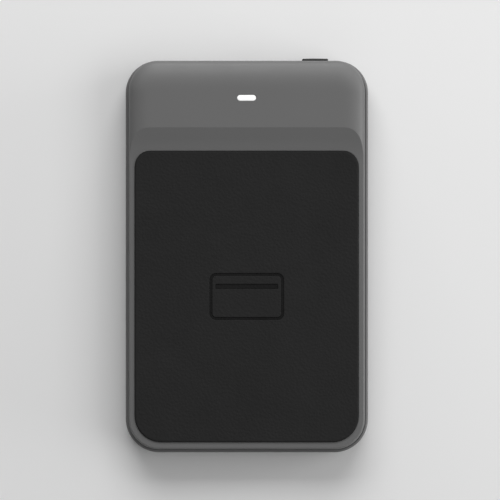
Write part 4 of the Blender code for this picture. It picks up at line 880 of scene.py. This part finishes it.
def makePortContacts():
    look = cablePort
    broad, long = look["contactSize"]
    rise, steps, count = look["contactRise"], look["contactSteps"], look["contactCount"]
    baseCorner, crownCorner = (broad * share for share in look["contactCorners"])
    strip = roundRect(broad, long, baseCorner, steps)
    crown = roundRect(broad - rise, long - rise, crownCorner, steps)
    heights = ((strip, look["contactLift"]), (strip, look["contactWall"]), (crown, rise))
    y = tongueHigh.y - look["nose"] - look["contactBack"] - long / 2
    bm = bmesh.new()
    for face in (1, -1):
        level = portSpot[1] + face * look["tongue"][1] / 2
        levels = [(outline, level + face * height) for outline, height in heights]
        for number in range(count):
            addStack(bm, levels, (portSpot[0] + (number - (count - 1) / 2) * look["contactPitch"], y))
    contacts = newPiece("portContacts", bm)
    dress(contacts, "copper")
    contacts.data.materials[0] = finishes["gold_plate"]


makePortSheath()
makePortTongue()
makePortContacts()
print("cable port done")


fixings = {
    "housingScrew": lengths(headRadius=2.1, headHeight=1.5, radius=1.0, pitch=0.55, thread=0.16),
    "boardScrew": lengths(headRadius=1.8, headHeight=1.2, radius=0.8, pitch=0.45, thread=0.13),
}
screwForm = lengths(edge=0.08, neck=0.25, tipRun=1.4, over=0.3) | dict(
    steps=36, threadSteps=8, domeSteps=10, flat=0.62, tip=0.35, turn=0.7,
    span=0.62, slot=0.2, slotTaper=0.5, depth=0.52, taper=0.72, overSpan=1.06)  # the recess, in shares


def screwLevels(look, length):
    form = screwForm
    head, height, edge, flat = look["headRadius"], look["headHeight"], form["edge"], form["flat"]
    profile = bend(head, 0, -head * (1 - flat), flat * height, form["domeSteps"])  # low dome of the head
    profile += [(head, height - edge), (head - edge, height), (look["radius"], height)]
    levels = [(circleOutline(radius, form["steps"]), z) for radius, z in profile]
    start = height + form["neck"]
    rings = int((length - start) / (look["pitch"] / form["threadSteps"]))
    for ring in range(rings + 1):  # the thread climbs with the turn
        z = start + (length - start) * ring / rings
        taper = min(1.0, form["tip"] + (length - z) / form["tipRun"])
        outline = []
        for step, (x, y) in enumerate(circleOutline(1.0, form["steps"])):
            wave = abs(((z / look["pitch"] - step / form["steps"]) % 1.0) * 2 - 1)
            radius = (look["radius"] - look["thread"] * (1 - wave)) * taper
            outline.append((radius * x, radius * y))
        levels.append((outline, z))
    return levels


def crossOutline(look, share):
    form = screwForm
    arm = form["span"] * look["headRadius"] * share
    half = form["slot"] * look["headRadius"] * (1 - form["slotTaper"] * (1 - share))
    quarter = [(arm, -half), (arm, half), (half, half)]
    points = []
    for cosine, sine in ((1, 0), (0, 1), (-1, 0), (0, -1)):
        points += [(x * cosine - y * sine, x * sine + y * cosine) for x, y in quarter]
    return points


def makeScrews(kind, start):
    form, look = screwForm, fixings[kind]
    low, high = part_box(start + "1")
    pattern = stackPiece("screwPattern", screwLevels(look, high.z - low.z))
    depth = form["depth"] * look["headHeight"]
    recess = ((form["overSpan"], -form["over"]), (1.0, 0.0), (form["taper"], depth))
    carve(pattern, stackPiece("crossTool", [(crossOutline(look, share), z) for share, z in recess]))
    settle(pattern)
    for number, spot in enumerate(middlesOf(start), start=1):
        screw = bpy.data.objects.new(f"{kind}{number}", pattern.data.copy())
        turned = Matrix.Rotation(form["turn"] * number, 4, "Z")
        screw.data.transform(Matrix.Translation((*spot, low.z)) @ turned)
        bpy.context.scene.collection.objects.link(screw)
        dress(screw, "steel", f"{start}{number}")
    bpy.data.objects.remove(pattern)


rubberFoot = lengths(
    edge=0.25, dish=0.12, middle=0.3, rim=0.55, rimRun=0.3, grooveAt=2.2, grooveWide=0.5, groove=0.15,
    baseEdge=0.1,
) | dict(edgeSteps=6, steps=64, crease=35)


def footProfile(look, radius, high):
    at, half, dish, edge = look["grooveAt"], look["grooveWide"] / 2, look["dish"], look["edge"]
    rim = radius - edge - look["rim"]
    profile = [(look["middle"], dish), (at - half, dish), (at - half / 2, dish + look["groove"])]
    profile += [(at + half / 2, dish + look["groove"]), (at + half, dish)]
    profile += [(rim - look["rimRun"], dish), (rim, 0.0)]
    profile += bend(radius, 0, -edge, edge, look["edgeSteps"])
    return profile + [(radius, high - look["baseEdge"]), (radius - look["baseEdge"], high)]


def makeFeet():
    look = rubberFoot
    for number, spot in enumerate(middlesOf("rubber_foot_"), start=1):
        low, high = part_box(f"rubber_foot_{number}")
        profile = footProfile(look, (high.x - low.x) / 2, high.z)
        foot = turnedPiece(f"rubberFoot{number}", profile, [spot], look["steps"])
        dress(foot, "foot_rubber", f"rubber_foot_{number}", crease=look["crease"])


makeScrews("housingScrew", "housing_screw_")
makeScrews("boardScrew", "board_screw_")
makeFeet()
print("screws and feet done")


switchDome = lengths(thick=0.12, rise=0.25) | dict(steps=24, keep=0.25)


def makeSwitchDome():
    look = switchDome
    low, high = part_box("switch_dome")
    inner, outer = [], []
    for step in range(look["steps"] + 1):
        share = step / look["steps"]
        x = low.x + (high.x - low.x) * share
        y = low.y + look["rise"] * math.sin(math.pi * share)
        inner.append((x, y))
        outer.append((x, y + look["thick"]))
    strip = inner + outer[::-1]
    dome = stackPiece("switchDome", [(strip, low.z), (strip, high.z)])
    dress(dome, "steel", "switch_dome")
    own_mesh(dome)


boardParts = lengths(
    grid=(2.3, 1.7), clear=0.9, depth=1.0, body=(0.6, 0.5, 0.34), cap=(0.22, 0.52, 0.36), corner=0.04,
    legHalf=0.13, legIn=0.12, fillet=((0.40, 0.0), (0.20, 0.10), (0.08, 0.24), (0.03, 0.45)),
) | dict(pattern=(2, 3), cycle=5, kept=3, cornerSteps=2, legShare=0.88, legCrease=40)
legCounts = {  # on each edge along X, and on each edge along Y
    "controller_chip": (12, 12), "shield_can": (6, 4), "flex_connector": (12, 1), "status_led": (0, 1),
    "battery_socket": (3, 1), "buzzer": (0, 1), "switch_body": (0, 2),
}
boardLow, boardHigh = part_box("main_board")


def freeSpots(face):  # grid places on one face of the board that nothing else stands near
    look = boardParts
    level = boardHigh.z if face > 0 else boardLow.z
    span = sorted((level, level + face * look["depth"]))
    others = [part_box(name) for name in nodes if name not in ("main_board", "front_shell", "rear_shell")]
    taken = [(near, far) for near, far in others if near.z < span[1] and far.z > span[0]]
    (stepX, stepY), gap = look["grid"], look["clear"]
    for column in range(1, int((boardHigh.x - boardLow.x) / stepX)):
        for row in range(1, int((boardHigh.y - boardLow.y) / stepY)):
            x, y = boardLow.x + column * stepX, boardLow.y + row * stepY
            inX = [(near, far) for near, far in taken if near.x - gap <= x <= far.x + gap]
            free = not any(near.y - gap <= y <= far.y + gap for near, far in inX)
            turn = column * look["pattern"][0] + row * look["pattern"][1]
            if free and turn % look["cycle"] < look["kept"]:
                yield x, y, level, (column + row) % 2


def addBlock(bm, size, at, level, face):
    wide, tall, high = size
    corner, steps = boardParts["corner"], boardParts["cornerSteps"]
    base = roundRect(wide, tall, corner, steps)
    crown = roundRect(wide - 2 * corner, tall - 2 * corner, corner / 2, steps)
    heights = ((base, 0.0), (base, high - corner), (crown, high))
    addStack(bm, [(outline, level + face * height) for outline, height in heights], at)


def addLegs(bm, name, counts):  # a solder fillet climbs each leg from the board
    look = boardParts
    low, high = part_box(name)
    face = 1 if low.z > boardHigh.z else -1
    level = boardHigh.z if face > 0 else boardLow.z
    middle, size, half = (low + high) / 2, high - low, look["legHalf"]
    for axis, count in enumerate(counts):
        for end in (-1, 1):
            edge = end * size[1 - axis] / 2
            inner = edge - end * look["legIn"]
            for number in range(count):
                along = ((number + 0.5) / count - 0.5) * size[axis] * look["legShare"]
                levels = []
                for reach, rise in look["fillet"]:
                    outer = edge + end * reach
                    corners = [(along - half, inner), (along + half, inner)]
                    corners += [(along + half, outer), (along - half, outer)]
                    outline = [pair if axis == 0 else pair[::-1] for pair in corners]
                    levels.append((outline, level + face * rise))
                addStack(bm, levels, middle)


def makeBoardParts():
    look = boardParts
    bodies, caps, legs = bmesh.new(), bmesh.new(), bmesh.new()
    reach = (look["body"][0] + look["cap"][0]) / 2
    for face in (1, -1):
        for x, y, level, upright in freeSpots(face):
            order = (1, 0, 2) if upright else (0, 1, 2)
            addBlock(bodies, [look["body"][index] for index in order], (x, y), level, face)
            for end in (-reach, reach):
                at = (x, y + end) if upright else (x + end, y)
                addBlock(caps, [look["cap"][index] for index in order], at, level, face)
    for name, counts in legCounts.items():
        addLegs(legs, name, counts)
    dress(newPiece("chipBodies", bodies), "black_moulding", crease=hardCrease)
    dress(newPiece("chipCaps", caps), "tin_plate", crease=hardCrease)
    dress(newPiece("solderLegs", legs), "tin_plate", crease=look["legCrease"])


softEdge = dict(width=0.05 * mm, most=0.2, segments=2, angle=50)


def softenNodes():  # shapes taken over from the frame get their edges broken
    look = softEdge
    for name, node in nodes.items():
        if node.hide_render:
            continue
        low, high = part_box(name)
        node.modifiers.new("weld", "WELD").merge_threshold = weldReach
        bevel = node.modifiers.new("softEdge", "BEVEL")
        bevel.width = min(look["width"], look["most"] * min(high - low))  # thin films get less
        bevel.segments = look["segments"]
        bevel.limit_method, bevel.angle_limit = "ANGLE", math.radians(look["angle"])
        bevel.use_clamp_overlap = True
        node.modifiers.new("flatFaces", "WEIGHTED_NORMAL")


makeSwitchDome()
makeBoardParts()
softenNodes()
print("switch and board parts done")


stage = dict(
    floorSize=6.0, floorCells=8, floorZ=-0.05 * mm, floorColour=grey(0.84), mottle=0.01, cloudScale=9.0,
    cloudDetail=4.0, roughness=0.85, shine=0.2, bounce=0.4, worldColour=grey(1.0), fill=0.20, backdrop=0.86)


def seenRays(tree):  # what the camera, metal and glass show; bounced light isn't among them
    path = put(tree, "ShaderNodeLightPath").outputs
    seen = calc(tree, "MAXIMUM", path["Is Camera Ray"], path["Is Glossy Ray"])
    return calc(tree, "MAXIMUM", seen, path["Is Transmission Ray"])


def makeFloor():
    bm = bmesh.new()
    cells = stage["floorCells"]
    bmesh.ops.create_grid(bm, x_segments=cells, y_segments=cells, size=stage["floorSize"] / 2)
    floor = newPiece("floor", bm)
    material = startMaterial("floorPaint")
    tree, sockets, place = partsOf(material)
    cloud = noise(tree, place, stage["cloudScale"], stage["cloudDetail"])
    dark, pale = (tinted(stage["floorColour"], 1 + swing) for swing in (-stage["mottle"], stage["mottle"]))
    low = tinted(stage["floorColour"], stage["bounce"])  # throws little light back up
    colour = mixColour(tree, seenRays(tree), low, mixColour(tree, cloud, dark, pale))
    plug(tree, sockets, {"Base Color": colour, "Roughness": stage["roughness"]})
    plug(tree, sockets, {"Specular IOR Level": stage["shine"]})
    floor.data.materials.append(material)
    floor.location.z = stage["floorZ"]  # just clear of the feet


def makeWorld():
    world = bpy.data.worlds.new("studio")
    bpy.context.scene.world = world
    world.use_nodes = True
    tree = world.node_tree
    strength = remap(tree, seenRays(tree), 0.0, 1.0, stage["fill"], stage["backdrop"])
    values = {"Color": tinted(stage["worldColour"]), "Strength": strength}
    plug(tree, tree.nodes["Background"].inputs, values)


panel = dict(lift=45, away=1.0, size=(0.9, 0.5))
strip = dict(lift=8, away=1.0, size=(0.9, 0.14))
lights = {  # turn 0 is right, 90 is the top edge
    "topLight": dict(turn=90, share=0.435, **panel),
    "topStrip": dict(turn=90, share=0.072, **strip),
    "rightLight": dict(turn=0, share=0.175, **panel),
    "rightStrip": dict(turn=0, share=0.085, **strip),
    "bottomLight": dict(turn=270, share=0.025, **panel),
}


def softLight(name, look):
    turn, lift = math.radians(look["turn"]), math.radians(look["lift"])
    towards = Vector((math.cos(turn) * math.cos(lift), math.sin(turn) * math.cos(lift), math.sin(lift)))
    lamp = bpy.data.lights.new(name, "AREA")
    lamp.shape = "RECTANGLE"
    lamp.size, lamp.size_y = look["size"]
    # share is the brightness that the lamp alone gives a flat white card
    lamp.energy = look["share"] * (math.pi * look["away"]) ** 2 / math.sin(lift)
    light = bpy.data.objects.new(name, lamp)
    bpy.context.scene.collection.objects.link(light)
    light.location = towards * look["away"]
    light.rotation_mode = "QUATERNION"
    light.rotation_quaternion = towards.to_track_quat("Z", "Y")
    light.visible_camera = False


camera = lengths(aim=(0.85, 1.77, 7.6), span=134.15) | dict(
    tilt=(0.5, -0.4), distance=4.0, sensor=36.0, clip=(0.01, 50.0))


def makeCamera():
    lean = [math.tan(math.radians(degrees)) for degrees in camera["tilt"]]
    back = Vector((*lean, 1.0)).normalized()
    across = Vector((0, 1, 0)).cross(back).normalized()
    pose = Matrix((across, back.cross(across), back)).transposed().to_4x4()
    pose.translation = Vector(camera["aim"]) + back * camera["distance"]
    lens = bpy.data.cameras.new("photoCamera")
    lens.sensor_width = camera["sensor"]
    lens.lens = camera["sensor"] * camera["distance"] / camera["span"]
    lens.clip_start, lens.clip_end = camera["clip"]
    eye = bpy.data.objects.new("photoCamera", lens)
    bpy.context.scene.collection.objects.link(eye)
    eye.matrix_world = pose
    bpy.context.scene.camera = eye


makeFloor()
makeWorld()
for name, look in lights.items():
    softLight(name, look)
makeCamera()
bpy.context.scene.view_settings.view_transform = "Standard"
print("stage, lights and camera set")
